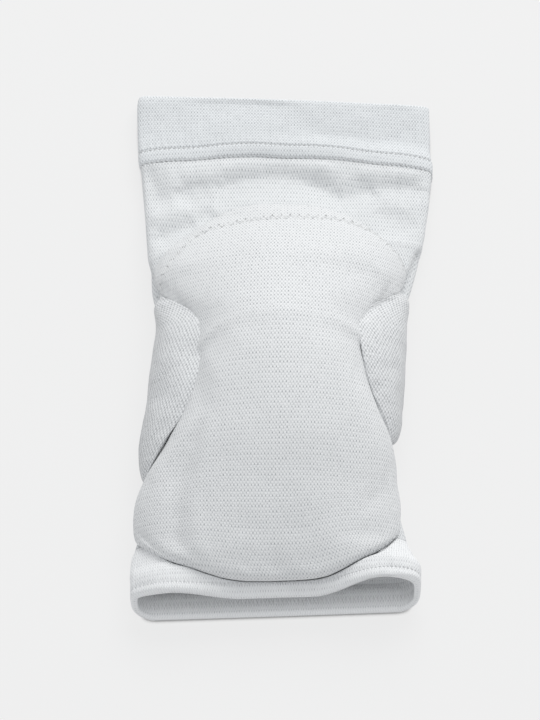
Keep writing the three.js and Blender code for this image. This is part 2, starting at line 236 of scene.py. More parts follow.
def outward(at, around):
    """The direction straight out of the cloth."""
    along = from_net(OUTER_NET, at + STEP_AT, around) - from_net(OUTER_NET, at - STEP_AT, around)
    far = from_net(OUTER_NET, at, around + STEP_AROUND)
    across = far - from_net(OUTER_NET, at, around - STEP_AROUND)
    normal = np.cross(along, across)
    return normal / np.linalg.norm(normal, axis=-1, keepdims=True)


def over_tube(at, around, height, lean_at=1.0):
    """Points at this height over the tube's outer face. Past lean_at they keep the lean of that
    place, so that a nose doesn't follow the flare of the hem."""
    height = np.broadcast_to(height, np.broadcast(at, around).shape)
    lean = outward(np.minimum(at, lean_at), around)
    return from_net(OUTER_NET, at, around) + lean * height[..., None]


# %% [markdown]
# Over the shin the hem stands up right in front of the pad's nose, so only a thin dark line shows
# between them. The nose's outline and the lift of the hem are worked out here, because the hem and
# the pad both need them.

# %% The nose line, and the lip in front of it
SHIN_EDGE, SHIN_EARS, SHIN_ARC = 0.981, 0.876, 3.2
NOSE_HALF = 0.92
LIP_UP = 5.6 * MM
LIP_FORWARD = 1.2 * MM
LIP_BEFORE, LIP_RUN = 0.009, 0.011
LIP_END, LIP_SOFT = 1.0, 0.28
LIP_RIM_FROM, LIP_RIM_RUN = 0.955, 0.04


def nose_line(across):
    """How far down the tube the front pad reaches."""
    return SHIN_EARS + (SHIN_EDGE - SHIN_EARS) * (1 - np.minimum(np.abs(across), 1) ** SHIN_ARC)


def lip_lift(at, around):
    """How the hem rises just beyond the nose."""
    signed = np.where(around > 2, around - 4, around)
    front = front_share(signed, LIP_END, LIP_SOFT)
    rising = front * smooth((at - nose_line(signed / NOSE_HALF) + LIP_BEFORE) / LIP_RUN)
    to_rim = smooth((at - LIP_RIM_FROM) / LIP_RIM_RUN)
    up = LIP_UP * rising * (0.75 + 0.25 * bump(signed, -0.05, 0.6))
    return np.stack([0 * rising, -LIP_FORWARD * front * to_rim, up], -1)


print("nose reaches", round(float(nose_line(0)) * LENGTH * 1000, 1), "mm down the tube")

# %% [markdown]
# ## Small uneven waves
# Soft cloth is never even. A smooth random field gives slow waves in the surface. Its numbers come
# from a fixed seed, so the cloth is the same in every render.

# %% Random waves
def wave_field(seed, cell, columns=96):
    """A repeating field of soft waves, read at (u, v) in metres, with waves about a cell wide."""
    lattice = np.random.default_rng(seed).standard_normal((columns, columns))

    def at_point(u, v):
        x, y = np.asarray(u) / cell, np.asarray(v) / cell
        x0, y0 = np.floor(x).astype(int), np.floor(y).astype(int)
        a, b = smooth(x - x0), smooth(y - y0)
        pick = lambda i, j: lattice[(x0 + i) % columns, (y0 + j) % columns]
        near = pick(0, 0) * (1 - a) + pick(1, 0) * a
        far = pick(0, 1) * (1 - a) + pick(1, 1) * a
        return near * (1 - b) + far * b

    return at_point


SLOW_CELL, SMALL_CELL = 13 * MM, 5 * MM
slow_waves = wave_field(3, SLOW_CELL)
small_waves = wave_field(8, SMALL_CELL)
AROUND_LENGTH = 68 * MM
print("waves about", round(SLOW_CELL * 1000), "and", round(SMALL_CELL * 1000), "mm wide")

# %% [markdown]
# ## Folds of the sleeve
# Between the thigh hem and the pad the sleeve is slack, and it lies in shallow wavy folds. Under
# the lower row of stitches it gathers a little. Each fold is a short row in a table: where it
# starts and ends, how deep it is and how wide.

# %% The creases
CREASES = table(
    "at_from around_from at_to around_to depth steep gentle",
    (0.196, -0.66, 0.188, -0.40, 1.60, 3.0, 6.5),
    (0.188, -0.40, 0.180, -0.20, 3.00, 3.2, 9.0),
    (0.180, -0.20, 0.176, -0.02, 3.10, 3.2, 9.0),
    (0.176, -0.02, 0.186, 0.18, 2.80, 3.2, 9.0),
    (0.186, 0.18, 0.206, 0.36, 3.70, 3.4, 8.0),
    (0.206, 0.36, 0.195, 0.56, 3.50, 3.4, 8.0),
    (0.195, 0.56, 0.184, 0.84, 2.10, 3.2, 6.0),
    (0.284, -0.84, 0.262, -0.66, 2.70, 3.6, 5.0),
    (0.262, -0.66, 0.246, -0.54, 1.70, 3.6, 5.5),
    (0.178, -0.90, 0.210, -0.86, 1.80, 5.0, 5.0),
    (0.236, 0.62, 0.258, 0.84, 1.00, 3.6, 5.0),
    (0.350, -1.01, 0.402, -0.95, 4.40, 3.2, 3.2),
    (0.322, 0.98, 0.392, 0.93, 4.40, 3.0, 3.0),
)
THROWN_SHARE, THROWN_AWAY, THROWN_HALF, THROWN_END = 0.30, 2.2, 1.1, 0.25


def crease_depth(at, around):
    """How deep the cloth is drawn in along the creases, in metres. What a crease takes in, it
    throws up a little on its thigh side."""
    y, x = np.asarray(at) * LENGTH, np.asarray(around) * AROUND_LENGTH
    total, thrown = 0.0, 0.0
    for k in range(len(CREASES["depth"])):
        start = np.array([CREASES["at_from"][k] * LENGTH, CREASES["around_from"][k] * AROUND_LENGTH])
        end = np.array([CREASES["at_to"][k] * LENGTH, CREASES["around_to"][k] * AROUND_LENGTH])
        way = end - start
        t = ((y - start[0]) * way[0] + (x - start[1]) * way[1]) / (way @ way)
        inside = np.clip(t, 0, 1)
        beyond = y - start[0] - inside * way[0]
        gap = np.hypot(beyond, x - start[1] - inside * way[1])
        half = np.where(beyond < 0, CREASES["steep"][k], CREASES["gentle"][k]) * MM
        depth = CREASES["depth"][k] * MM
        total = np.maximum(total, depth * bump(gap, 0, half))
        above = bump(beyond, -THROWN_AWAY * half, THROWN_HALF * half) * bump(t - inside, 0, THROWN_END)
        thrown = np.maximum(thrown, THROWN_SHARE * depth * above * (beyond < 0))
    return total - thrown


GATHER_PITCH = 7.5 * MM
GATHER_REACH = 6 * MM
GATHER_HEIGHT, GATHER_SWAY = 0.20 * MM, 2.5 * MM
SLEEVE_SLOW, SLEEVE_SMALL = 0.30 * MM, 0.10 * MM
SEAM_HOLD = 3 * MM


def sleeve_relief(at, around):
    """Height of the sleeve's own waves over the smooth tube."""
    u, v = around * AROUND_LENGTH, at * LENGTH
    front = front_share(around, 1.15, 0.25)
    from_band = np.maximum(0, v - THIGH_BAND_DEPTH)
    to_shin = np.maximum(0, LENGTH - SHIN_BAND_DEPTH - v)
    held = smooth(from_band / SEAM_HOLD) * smooth(to_shin / SEAM_HOLD)
    gather = GATHER_HEIGHT * np.sin(2 * np.pi * (u + GATHER_SWAY * slow_waves(u, v)) / GATHER_PITCH)
    gather = gather * np.exp(-from_band / GATHER_REACH)
    waves = SLEEVE_SLOW * slow_waves(u, v) + SLEEVE_SMALL * small_waves(u, v)
    return front * held * (gather + waves - crease_depth(at, around))


print("deepest crease", float(CREASES["depth"].max()), "mm")


# %% [markdown]
# ## Turning points into meshes
# A wrapped piece is a closed profile carried once round the tube: down its outer face, round the
# rim and back up its inner face. A pad is a patch of the tube with two faces that share a border.
# Both store a place on the cloth in their UV maps, in metres, so that the knit runs with the cloth.

# %% Mesh helpers
def in_scene(name, data):
    """An object with this data, linked to the scene."""
    obj = bpy.data.objects.new(name, data)
    bpy.context.scene.collection.objects.link(obj)
    return obj


def smooth_piece(name, points, faces):
    """A smooth-shaded mesh in the scene, from its points and the corners of its faces."""
    mesh = bpy.data.meshes.new(name)
    mesh.from_pydata(points.reshape(-1, 3).tolist(), [], faces)
    mesh.polygons.foreach_set("use_smooth", np.ones(len(mesh.polygons), bool))
    mesh.update()
    return in_scene(name, mesh)


def corner_vertices(mesh):
    """The vertex at each corner of each face."""
    loops = np.empty(len(mesh.loops), int)
    mesh.loops.foreach_get("vertex_index", loops)
    return loops


def add_map(mesh, name, values):
    """A UV map with two numbers for each corner of each face."""
    layer = mesh.uv_layers.new(name=name)
    layer.data.foreach_set("uv", values.astype(np.float32).ravel())


def add_painted_shade(mesh, values):
    """How much painted shade darkens the cloth at each vertex, for the materials to read."""
    darker = mesh.attributes.new("painted_shade", "FLOAT", "POINT")
    darker.data.foreach_set("value", values.astype(np.float32).ravel())


# %% A profile swept round the tube
CLOSER_AT_FOLDS = 0.3
RIM_SOFT = 0.35
DRAWN_SOFT = 0.1


def wrapped_quads(rows, columns):
    """The faces of a net that closes on itself both ways."""
    grid = np.arange(rows * columns).reshape(rows, columns)
    below = np.roll(grid, -1, 0)
    return np.stack([grid, below, np.roll(below, -1, 1), np.roll(grid, -1, 1)], -1).reshape(-1, 4)


def wrapped_cloth(u, run):
    """The place on the cloth at each corner of those faces, in metres."""
    v = np.broadcast_to(run, (len(run), u.shape[1]))
    u = np.broadcast_to(u, v.shape)
    after_last = v[-1:] + (v[-1:] - v[-2:-1])
    v_next = np.concatenate([v[1:], after_last], 0)
    corners = [(u[:, :-1], v[:, :-1]), (u[:, :-1], v_next[:, :-1]),
               (u[:, 1:], v_next[:, 1:]), (u[:, 1:], v[:, 1:])]
    return np.stack([np.stack(corner, -1) for corner in corners], -2).reshape(-1, 2)


def wrap_round(name, profile, relief, wall, columns, shade=None, drawn=None):
    """A closed profile of (depth, height, run) swept once round the tube. relief adds to the height,
    shade paints shade into the cloth where thread pulls it in, and drawn moves whole points."""
    depth, height, run = (np.array(p)[:, None] for p in zip(*profile))
    turn = 4 * np.arange(columns + 1)[None, :] / columns
    around = turn - 1 - CLOSER_AT_FOLDS / np.pi * np.sin(np.pi * turn)
    signed = np.where(around > 1, around - 4, around)
    signed = np.where(signed < -2, signed + 4, signed)
    at = depth / LENGTH
    waves = relief(at, signed)
    extra = waves * smooth(1 + height / (RIM_SOFT * wall))
    top = over_tube(at, around, np.maximum(height, 0) + extra)
    drawn_in = np.minimum(waves, 0) * front_share(signed, 1, DRAWN_SOFT)
    inner = from_net(INNER_NETS[wall], at, around) + outward(at, around) * drawn_in[..., None]
    sink = np.clip(-height / wall, 0, 1)
    points = top * (1 - sink[..., None]) + inner * sink[..., None]
    if drawn is not None:
        points = points + drawn(at, signed, sink)
    points[..., 2] = np.maximum(points[..., 2], 0)
    obj = smooth_piece(name, points[:, :-1], wrapped_quads(len(profile), columns).tolist())
    add_map(obj.data, "cloth", wrapped_cloth(around * AROUND_LENGTH, run))
    if shade is not None:
        add_painted_shade(obj.data, shade(at, signed, sink)[:, :-1])
    print(name, len(obj.data.polygons), "quads")
    return obj


def with_run(profile):
    """Adds to each (depth, height) how far it is along the profile, so the knit isn't stretched."""
    out = []
    run = profile[0][0]
    for k, (depth, height) in enumerate(profile):
        if k:
            run += math.hypot(depth - profile[k - 1][0], height - profile[k - 1][1])
        out.append((depth, height, run))
    return out


# %% [markdown]
# ## The sleeve
# The sleeve is the knitted tube between the two hems. Its outer face gets cells of about one
# millimetre, which hold the small waves and creases. Its inner face only shows through the shin
# opening, so it is coarser.

# %% Make the sleeve
def level(start, end, count, height=0.0):
    """A straight stretch of a profile, all at one height."""
    return [(start + (end - start) * k / (count - 1), height) for k in range(count)]


TUCKED = 0.1 * MM
SLEEVE_FROM = THIGH_BAND_DEPTH - TUCKED
SLEEVE_TO = LENGTH - SHIN_BAND_DEPTH + TUCKED
sleeve_profile = level(SLEEVE_FROM, SLEEVE_TO, 170) + level(SLEEVE_TO, SLEEVE_FROM, 36, -KNIT)
sleeve = wrap_round("sleeve_knit_tube", with_run(sleeve_profile), sleeve_relief, KNIT, 280)

# %% [markdown]
# ## The thigh hem
# The hem is a wide folded band. Two rows of stitches hold it, and the strip between them puffs up
# a little. A stitch pulls the cloth in at one point, so the groove is deepest at each stitch and
# the strip is slightly scalloped.

# %% Make the thigh band
HEM_STRIP = 6.8 * MM
STITCH_PITCH = 2.15 * MM
HEM_ROWS = (THIGH_BAND_DEPTH - HEM_STRIP, THIGH_BAND_DEPTH - 0.6 * MM)


def stitch_sway(around):
    """Sewn rows wander a little."""
    return 0.35 * MM * slow_waves(around * AROUND_LENGTH, 0.4)


def needle(around, lean=0.0):
    """1 at each needle hole of a hem row, and 0 between them."""
    turn = around * AROUND_LENGTH / STITCH_PITCH + lean
    return np.maximum(0, np.cos(2 * np.pi * turn)) ** 1.5


NEEDLE_SLANT = 3 * MM
PUFF, RIM_LIP = 0.65 * MM, 0.30 * MM
SAG, SAG_SMALL = 0.55 * MM, 0.10 * MM
PUCKER, PUCKER_PITCH = 0.10 * MM, 3.4 * MM
HOLLOW, HOLLOW_AT, HOLLOW_HALF = 3.2 * MM, 0.62, 0.40
PEEK, PEEK_AT, PEEK_HALF = 2.6 * MM, -1.32, 0.26


def needles(around, v):
    """The needle holes of both hem rows at this depth. The two rows slant opposite ways."""
    upper = needle(around, (v - HEM_ROWS[0]) / NEEDLE_SLANT)
    lower = needle(around, (HEM_ROWS[1] - v) / NEEDLE_SLANT)
    return upper, lower


def thigh_relief(at, around):
    """Height of the hem: two stitched grooves, the puffed strip, and the slack band above it."""
    u, v = around * AROUND_LENGTH, at * LENGTH + stitch_sway(around)
    front = front_share(around, 1.12, 0.2)
    upper_holes, lower_holes = needles(around, v)
    upper = bump(v, HEM_ROWS[0], 0.55 * MM) * (0.42 + 0.45 * upper_holes)
    lower = bump(v, HEM_ROWS[1], 0.50 * MM) * (0.22 + 0.40 * lower_holes)
    in_strip = np.clip((v - sum(HEM_ROWS) / 2) / (HEM_STRIP / 2), -1, 1)
    puff = PUFF * shoulder(in_strip, 2.2) * (1 + 0.12 * small_waves(u, v))
    lip = RIM_LIP * bump(v, 1.8 * MM, 1.5 * MM)
    quiet = smooth((HEM_ROWS[0] - v) / (9 * MM)) * smooth(v / (5 * MM))
    sag = quiet * (SAG * slow_waves(u * 0.6 + 0.2, v * 0.7) + SAG_SMALL * small_waves(u, v))
    draw = PUCKER * np.sin(2 * np.pi * u / PUCKER_PITCH) * bump(v, HEM_ROWS[0] - 2.2 * MM, 2.4 * MM)
    hollow = -HOLLOW * bump(around, HOLLOW_AT, HOLLOW_HALF) * quiet * smooth(v / (28 * MM))
    back = 0.35 + 0.65 * front
    return back * (puff - (upper + lower) * MM) + front * (lip + sag + draw + hollow)


def thigh_shade(at, around, inside):
    """Where the hem rows pull the cloth into shadow."""
    v = at * LENGTH + stitch_sway(around)
    upper_holes, lower_holes = needles(around, v)
    upper = bump(v, HEM_ROWS[0] + 0.1 * MM, 0.50 * MM) * (0.15 + 0.85 * upper_holes)
    lower = bump(v, HEM_ROWS[1], 0.50 * MM) * (0.15 + 0.85 * lower_holes)
    return (0.80 * upper + 0.55 * lower) * (inside < 0.2)


def thigh_drawn(at, around, inside):
    """The back layer peeks out over the front one at the left."""
    peek = PEEK * bump(around, PEEK_AT, PEEK_HALF) * smooth(1 - at * LENGTH / (25 * MM))
    return np.stack([0 * peek, peek, 0 * peek], -1)


def half_round(rim, inwards, wall, steps):
    """The folded rim, from the inner face round to the outer one."""
    out = []
    for k in range(1, steps):
        angle = math.pi * (k / steps - 0.5)
        depth = rim + inwards * wall / 2 * (1 - math.cos(angle))
        out.append((depth, wall / 2 * (math.sin(angle) - 1)))
    return out


BAND_END = THIGH_BAND_DEPTH - SEAM_GAP / 2
band_start = THIGH_BAND_WALL / 2
thigh_profile = half_round(0.0, 1, THIGH_BAND_WALL, 8)
thigh_profile += level(band_start, HEM_ROWS[0] - 2 * MM, 34)
thigh_profile += level(HEM_ROWS[0] - 1.7 * MM, BAND_END, 34)
thigh_profile += level(BAND_END, band_start, 14, -THIGH_BAND_WALL)
thigh_band = wrap_round("thigh_hem_band", with_run(thigh_profile), thigh_relief,
                        THIGH_BAND_WALL, 640, thigh_shade, thigh_drawn)

# %% [markdown]
# ## The shin hem
# The lower hem is softer and stands open. It has fine ribs along it and a narrow bead at the rim,
# where it is turned over and sewn.

# %% Make the shin band
BEAD = 2.6 * MM
SHIN_STITCH_AT = LENGTH - 4.2 * MM
SHIN_PITCH = 1.75 * MM
BEAD_HEIGHT, RIM_GROOVE = 0.42 * MM, 0.22 * MM
RIB_HEIGHT, RIB_PITCH = 0.05 * MM, 1.9 * MM
SHIN_SLOW, SHIN_SMALL = 0.38 * MM, 0.12 * MM
ROLL_HEIGHT, ROLL_DEPTH = 2.2 * MM, 5.5 * MM
BACK_UP, BACK_OUT = 0.7 * MM, 0.8 * MM


def shin_relief(at, around):
    """Height of the hem: its bead, the groove of its stitches, soft waves and fine ribs."""
    u, v = around * AROUND_LENGTH, at * LENGTH
    front = front_share(around, 1.2, 0.3)
    to_rim = LENGTH - v
    bead = BEAD_HEIGHT * shoulder(np.clip((to_rim - 1.5 * MM) / BEAD, -1, 1), 2.0)
    groove = -RIM_GROOVE * bump(v, SHIN_STITCH_AT, 0.5 * MM)
    held = smooth((v - LENGTH + SHIN_BAND_DEPTH) / (4 * MM))
    ribs = RIB_HEIGHT * np.sin(2 * np.pi * u / RIB_PITCH)
    waves = SHIN_SLOW * slow_waves(u + 0.5, v * 0.5) + SHIN_SMALL * small_waves(u + 0.3, v)
    return (0.3 + 0.7 * front) * (bead + groove) + front * held * (waves + ribs)


def shin_shade(at, around, inside):
    """Fine dots of painted shade at the needle holes where the rim is sewn, with one more row of them
    inside.
    """
    v = at * LENGTH
    turn = around * AROUND_LENGTH / SHIN_PITCH
    second = bump(v, SHIN_STITCH_AT - 4.5 * MM, 0.45 * MM) * (inside > 0.8)
    both = bump(v, SHIN_STITCH_AT, 0.45 * MM) + second
    return 0.35 * both * np.maximum(0, np.cos(2 * np.pi * turn))


def shin_drawn(at, around, inside):
    """The front lip stands up before the nose, and the rim at the back is a rolled bead."""
    back = smooth((np.abs(around) - 1.05) / 0.2)
    to_rim = (1 - at) * LENGTH
    near_rim = smooth(1 - to_rim / (6 * MM))
    rolled = back * inside * shoulder(np.clip((to_rim - ROLL_DEPTH) / ROLL_DEPTH, -1, 1), 1.8)
    z = ROLL_HEIGHT * rolled + BACK_UP * back * near_rim
    y = -BACK_OUT * back * near_rim
    return lip_lift(at, around) + np.stack([0 * z, y, z], -1)


SHIN_FROM = LENGTH - SHIN_BAND_DEPTH + SEAM_GAP / 2
shin_end = LENGTH - SHIN_BAND_WALL / 2
shin_profile = level(SHIN_FROM, shin_end, 52)
shin_profile += half_round(LENGTH, -1, SHIN_BAND_WALL, 8)[::-1]
shin_profile += level(shin_end, SHIN_FROM, 26, -SHIN_BAND_WALL)
shin_band = wrap_round("shin_hem_band", with_run(shin_profile), shin_relief,
                       SHIN_BAND_WALL, 600, shin_shade, shin_drawn)

# %% [markdown]
# ## The front pad
# The pad is foam under a knit cover, sewn down along its border. It is wide over the thigh, drawn
# in at the waist and wide again over the shin, where it ends in a blunt nose. A bend line runs
# across the knee. Its thickness is a table along the middle, rounded off towards the sides.

# %% Where the front pad lies, and how thick it is
PAD_THICKNESS = 18 * MM
PAD_SIDES = table(
    "at left right",
    (0.20, 0.82, 0.80), (0.36, 0.94, 0.91), (0.42, 0.85, 0.84), (0.49, 0.715, 0.735),
    (0.57, 0.675, 0.725), (0.64, 0.73, 0.80), (0.70, 0.84, 0.90), (0.76, 0.95, 0.95),
    (0.81, 0.995, 0.95), (0.86, 0.98, 0.92), (0.96, 0.90, 0.86),
)
PAD_CROWN = table(
    "along thick",
    (0.00, 0.00), (0.06, 0.15), (0.13, 0.33), (0.22, 0.49), (0.30, 0.64), (0.375, 0.82),
    (0.46, 0.98), (0.57, 1.04), (0.72, 0.96), (0.86, 0.88), (1.00, 0.82),
)
PAD_FLANKS = table(
    "along left right",
    (0.00, 2.4, 2.4), (0.12, 2.3, 2.3), (0.24, 2.0, 2.1), (0.36, 2.0, 2.4), (0.52, 2.2, 2.7),
    (0.68, 2.2, 2.5), (0.85, 2.3, 2.4), (1.00, 2.4, 2.4),
)
THIGH_EDGE, THIGH_EARS, THIGH_ARC = 0.225, 0.368, 3.0
SHIN_ROUND, SHIN_ROLL, LEAN_AT = 2.6, 0.84, 0.885
LAID_ON = 0.12 * MM
NOSE_FORWARD = 0.12


def front_place(across, along):
    """Where on the tube a place on the front pad lies, both given as shares."""
    top = THIGH_EARS + (THIGH_EDGE - THIGH_EARS) * (1 - np.abs(across) ** THIGH_ARC)
    bottom = nose_line(across)
    at = top + (bottom - top) * along
    left = -between(PAD_SIDES, "at", "left", at)
    right = between(PAD_SIDES, "at", "right", at)
    return at, left + (right - left) * (across + 1) / 2


def front_thickness(across, along):
    """The crown along the middle, rounded off to each side and over the nose."""
    roll = np.maximum(0, (along - SHIN_ROLL) / (1 - SHIN_ROLL))
    crown = between(PAD_CROWN, "along", "thick", along)
    left, right = (between(PAD_FLANKS, "along", side, along) for side in ("left", "right"))
    flank = np.where(across < 0, left, right)
    return PAD_THICKNESS * crown * shoulder(across, flank) * shoulder(roll, SHIN_ROUND)


# %% [markdown]
# Side pads are small bolsters of the same foam under an open mesh. Each runs along the waist of
# the front pad and out over the fold of the sleeve. Its inner border is sewn some way up the front
# pad's flank and pressed into it, because two pads that only stand side by side show a dark slit.

# %% Where the side pads lie
SIDE_PAD_THICKNESS = 8.4 * MM
SIDE_PADS = {
    "left": {"side": -1, "top": 0.408, "bottom": 0.762, "outer": 1.20},
    "right": {"side": 1, "top": 0.398, "bottom": 0.698, "outer": 1.20},
}
SIDE_INSET, INNER_ROUND, OUTER_ROUND = 0.002, 3.6, 2.0
TOP_ROUND, LOW_ROUND, TOP_SPINDLE, LOW_SPINDLE = 1.45, 2.2, 0.48, 0.42
SEAT = 5.0 * MM
FLANK_PRESS = 0.085
SEAT_SHARE = 0.45
FLANK_ACROSS = 0.9
TIP = 0.004


def side_place(name):
    """Where on the tube one side pad lies: a spindle from the front pad's edge to past the fold."""
    pad = SIDE_PADS[name]

    def place(across, along):
        at = pad["top"] + (pad["bottom"] - pad["top"]) * along
        waist = between(PAD_SIDES, "at", name, at) + SIDE_INSET
        spindle = np.where(along < 0.5, TOP_SPINDLE, LOW_SPINDLE)
        swell = np.sin(np.pi * np.clip(along, TIP, 1 - TIP)) ** spindle
        reach = waist + (np.maximum(pad["outer"], waist) - waist) * swell
        return at, pad["side"] * (waist + (reach - waist) * (across + 1) / 2)

    return place


def side_seat(across, along):
    """The inner border is sewn some way up the front pad's flank, so no gap shows between them."""
    return SEAT * smooth((-across - 0.45) / 0.55) * shoulder(2 * along - 1, 1.15)


def side_lean(name):
    """How far a side pad leans over the front pad's flank, as a share round the tube."""
    place = side_place(name)
    flank_top = THIGH_EARS + (THIGH_EDGE - THIGH_EARS) * (1 - FLANK_ACROSS**THIGH_ARC)
    flank_bottom = nose_line(FLANK_ACROSS)

    def lean(across, along, height):
        at, _ = place(across, along)
        waist = between(PAD_SIDES, "at", name, at)
        front_along = np.clip((at - flank_top) / (flank_bottom - flank_top), 0, 1)
        full = PAD_THICKNESS * between(PAD_CROWN, "along", "thick", front_along)
        flank = between(PAD_FLANKS, "along", name, front_along)
        share = np.clip(height / np.maximum(full, 1 * MM), 0, 0.9)
        room = waist * (1 - (1 - share**flank) ** (1 / flank))
        near_front = smooth((0.8 - across) / 1.6)
        return -SIDE_PADS[name]["side"] * (room + FLANK_PRESS * share) * near_front

    return lean


def side_thickness(across, along):
    """Blunt against the front pad, rounder on the outside and drawn in at both ends."""
    roundness = np.where(across < 0, INNER_ROUND, OUTER_ROUND)
    ends = np.where(along < 0.5, TOP_ROUND, LOW_ROUND)
    return SIDE_PAD_THICKNESS * shoulder(across, roundness) * shoulder(2 * along - 1, ends)


# %% [markdown]
# ## Swelling the covers
# A cover isn't as smooth as the foam formula. Blender's Cloth, blown up a little against its
# border, gives the tight, slightly uneven swell of stuffed fabric. The border and the underside
# are pinned, and no point may move more than a small cap, because the CAD solid holds this space.

# %% Patch meshes and the simulation
def overhang(along, height):
    """The nose leans out over the shin hem, the more the higher it is."""
    forward = NOSE_FORWARD * height * smooth((along - 0.72) / 0.26)
    return np.stack([0 * forward, -forward, 0 * forward], -1)


def patch(name, place, thickness, rows, columns, lean_at, mirrored, lean=None):
    """A closed pad: one face on the cloth, one raised, sharing the border."""
    r = np.linspace(0, 1, rows + 1)
    along = (0.5 * smooth(r) + 0.5 * r)[:, None]
    across = np.sin(np.pi * (np.linspace(0, 1, columns + 1) - 0.5))[None, :]
    along, across = np.broadcast_arrays(along, across)
    at, around = place(across, along)
    ground = LAID_ON + sleeve_relief(at, around)
    full = thickness(across, along)
    low_around, top_around = around, around
    if lean is not None:
        seat = side_seat(across, along)
        ground, full = ground + seat, full * (1 - SEAT_SHARE * seat / SEAT)
        low_around = around + lean(across, along, seat)
        top_around = around + lean(across, along, seat + full)
    lower = over_tube(at, low_around, ground, lean_at) + lip_lift(at, around)
    upper = over_tube(at, top_around, ground + full, lean_at) + lip_lift(at, around)
    if lean is None:
        upper = upper + overhang(along, thickness(across, along))
    upper[..., 2] = np.maximum(upper[..., 2], 0)
    step_v = np.linalg.norm(np.diff(upper, axis=0), axis=-1)
    step_u = np.linalg.norm(np.diff(upper, axis=1), axis=-1)
    run_v = np.concatenate([np.zeros((1, columns + 1)), np.cumsum(step_v, 0)], 0)
    run_u = np.concatenate([np.zeros((rows + 1, 1)), np.cumsum(step_u, 1)], 1)
    middle = columns // 2
    v = np.interp(at, at[:, middle], at[0, middle] * LENGTH + run_v[:, middle])
    v = v + LENGTH * (np.minimum(at, at[0, middle]) - at[0, middle])
    u = run_u - run_u[:, middle:middle + 1] + around[:, middle:middle + 1] * AROUND_LENGTH
    cloth = np.stack([u, v], -1)
    count = (rows + 1) * (columns + 1)
    top = np.arange(count).reshape(rows + 1, columns + 1)
    below = top.copy()
    below[1:-1, 1:-1] = count + np.arange((rows - 1) * (columns - 1)).reshape(rows - 1, columns - 1)
    points = np.concatenate([upper.reshape(-1, 3), lower[1:-1, 1:-1].reshape(-1, 3)])
    share = np.stack([across, along], -1)
    cloth_all = np.concatenate([cloth.reshape(-1, 2), cloth[1:-1, 1:-1].reshape(-1, 2)])
    place_all = np.concatenate([share.reshape(-1, 2), share[1:-1, 1:-1].reshape(-1, 2)])
    face_all = np.zeros((len(points), 2))
    face_all[:count, 0] = 1

    def quads(grid, flip):
        a, b, c, d = grid[:-1, :-1], grid[1:, :-1], grid[1:, 1:], grid[:-1, 1:]
        order = (a, d, c, b) if flip else (a, b, c, d)
        return np.stack(order, -1).reshape(-1, 4)

    faces = np.concatenate([quads(top, mirrored), quads(below, not mirrored)])
    obj = smooth_piece(name, points, faces.tolist())
    loops = corner_vertices(obj.data)
    for key, values in (("cloth", cloth_all), ("place", place_all), ("face", face_all)):
        add_map(obj.data, key, values[loops])
    pinned = obj.vertex_groups.new(name="sewn")
    inside = top[1:-1, 1:-1].ravel()
    fixed = np.setdiff1d(np.arange(len(points)), inside)
    pinned.add([int(i) for i in fixed], 1.0, "REPLACE")
    return obj


SIM_FRAMES = 20
CLOTH = {
    "quality": 6,
    "mass": 0.25,
    "tension_stiffness": 12,
    "compression_stiffness": 12,
    "shear_stiffness": 6,
    "bending_stiffness": 0.4,
    "use_pressure": True,
    "uniform_pressure_force": 4.0,
    "vertex_group_mass": "sewn",
    "shrink_min": -0.015,
}


def coordinates(mesh):
    """The place of each vertex."""
    co = np.empty(len(mesh.vertices) * 3)
    mesh.vertices.foreach_get("co", co)
    return co.reshape(-1, 3)


def swell(obj, cap):
    """Runs Cloth with pressure, then keeps its shape, moved by no more than the cap."""
    before = coordinates(obj.data)
    cloth = obj.modifiers.new("swell", "CLOTH")
    for key, value in CLOTH.items():
        setattr(cloth.settings, key, value)
    cloth.settings.effector_weights.gravity = 0
    cloth.collision_settings.use_collision = False
    scene = bpy.context.scene
    for number in range(1, SIM_FRAMES + 1):
        scene.frame_set(number)
    shaped = obj.evaluated_get(bpy.context.evaluated_depsgraph_get())
    after = coordinates(shaped.data)
    obj.modifiers.remove(cloth)
    scene.frame_set(1)
    move = after - before
    size = np.linalg.norm(move, axis=1, keepdims=True)
    allowed = cap * np.tanh(size / cap)
    kept = before + move * allowed / np.maximum(size, 1e-9)
    obj.data.vertices.foreach_set("co", kept.ravel())
    obj.data.update()
    furthest, most_kept = (round(float(a.max()) * 1000, 2) for a in (size, allowed))
    print(obj.name, "moved up to", furthest, "mm, kept", most_kept)


def subdivide(obj, levels):
    """Catmull-Clark subdivision, written into the mesh."""
    modifier = obj.modifiers.new("fine", "SUBSURF")
    modifier.levels = modifier.render_levels = levels
    modifier.uv_smooth = "NONE"
    shaped = obj.evaluated_get(bpy.context.evaluated_depsgraph_get())
    mesh = bpy.data.meshes.new_from_object(shaped)
    obj.modifiers.remove(modifier)
    old = obj.data
    obj.data = mesh
    bpy.data.meshes.remove(old)
    obj.vertex_groups.clear()
    mesh.polygons.foreach_set("use_smooth", np.ones(len(mesh.polygons), bool))


def per_vertex(mesh, layer):
    """A UV map's values for each vertex."""
    loops = corner_vertices(mesh)
    uv = np.empty(len(mesh.loops) * 2)
    mesh.uv_layers[layer].data.foreach_get("uv", uv)
    out = np.zeros((len(mesh.vertices), 2))
    out[loops] = uv.reshape(-1, 2)
    return out


def normals(mesh):
    """The outward direction at each vertex."""
    out = np.empty(len(mesh.vertices) * 3)
    mesh.vertex_normals.foreach_get("vector", out)
    return out.reshape(-1, 3)


def run_along(points):
    """How far each point is from the first one, along the line through them all."""
    return np.concatenate([[0], np.cumsum(np.linalg.norm(np.diff(points, axis=0), axis=1))])


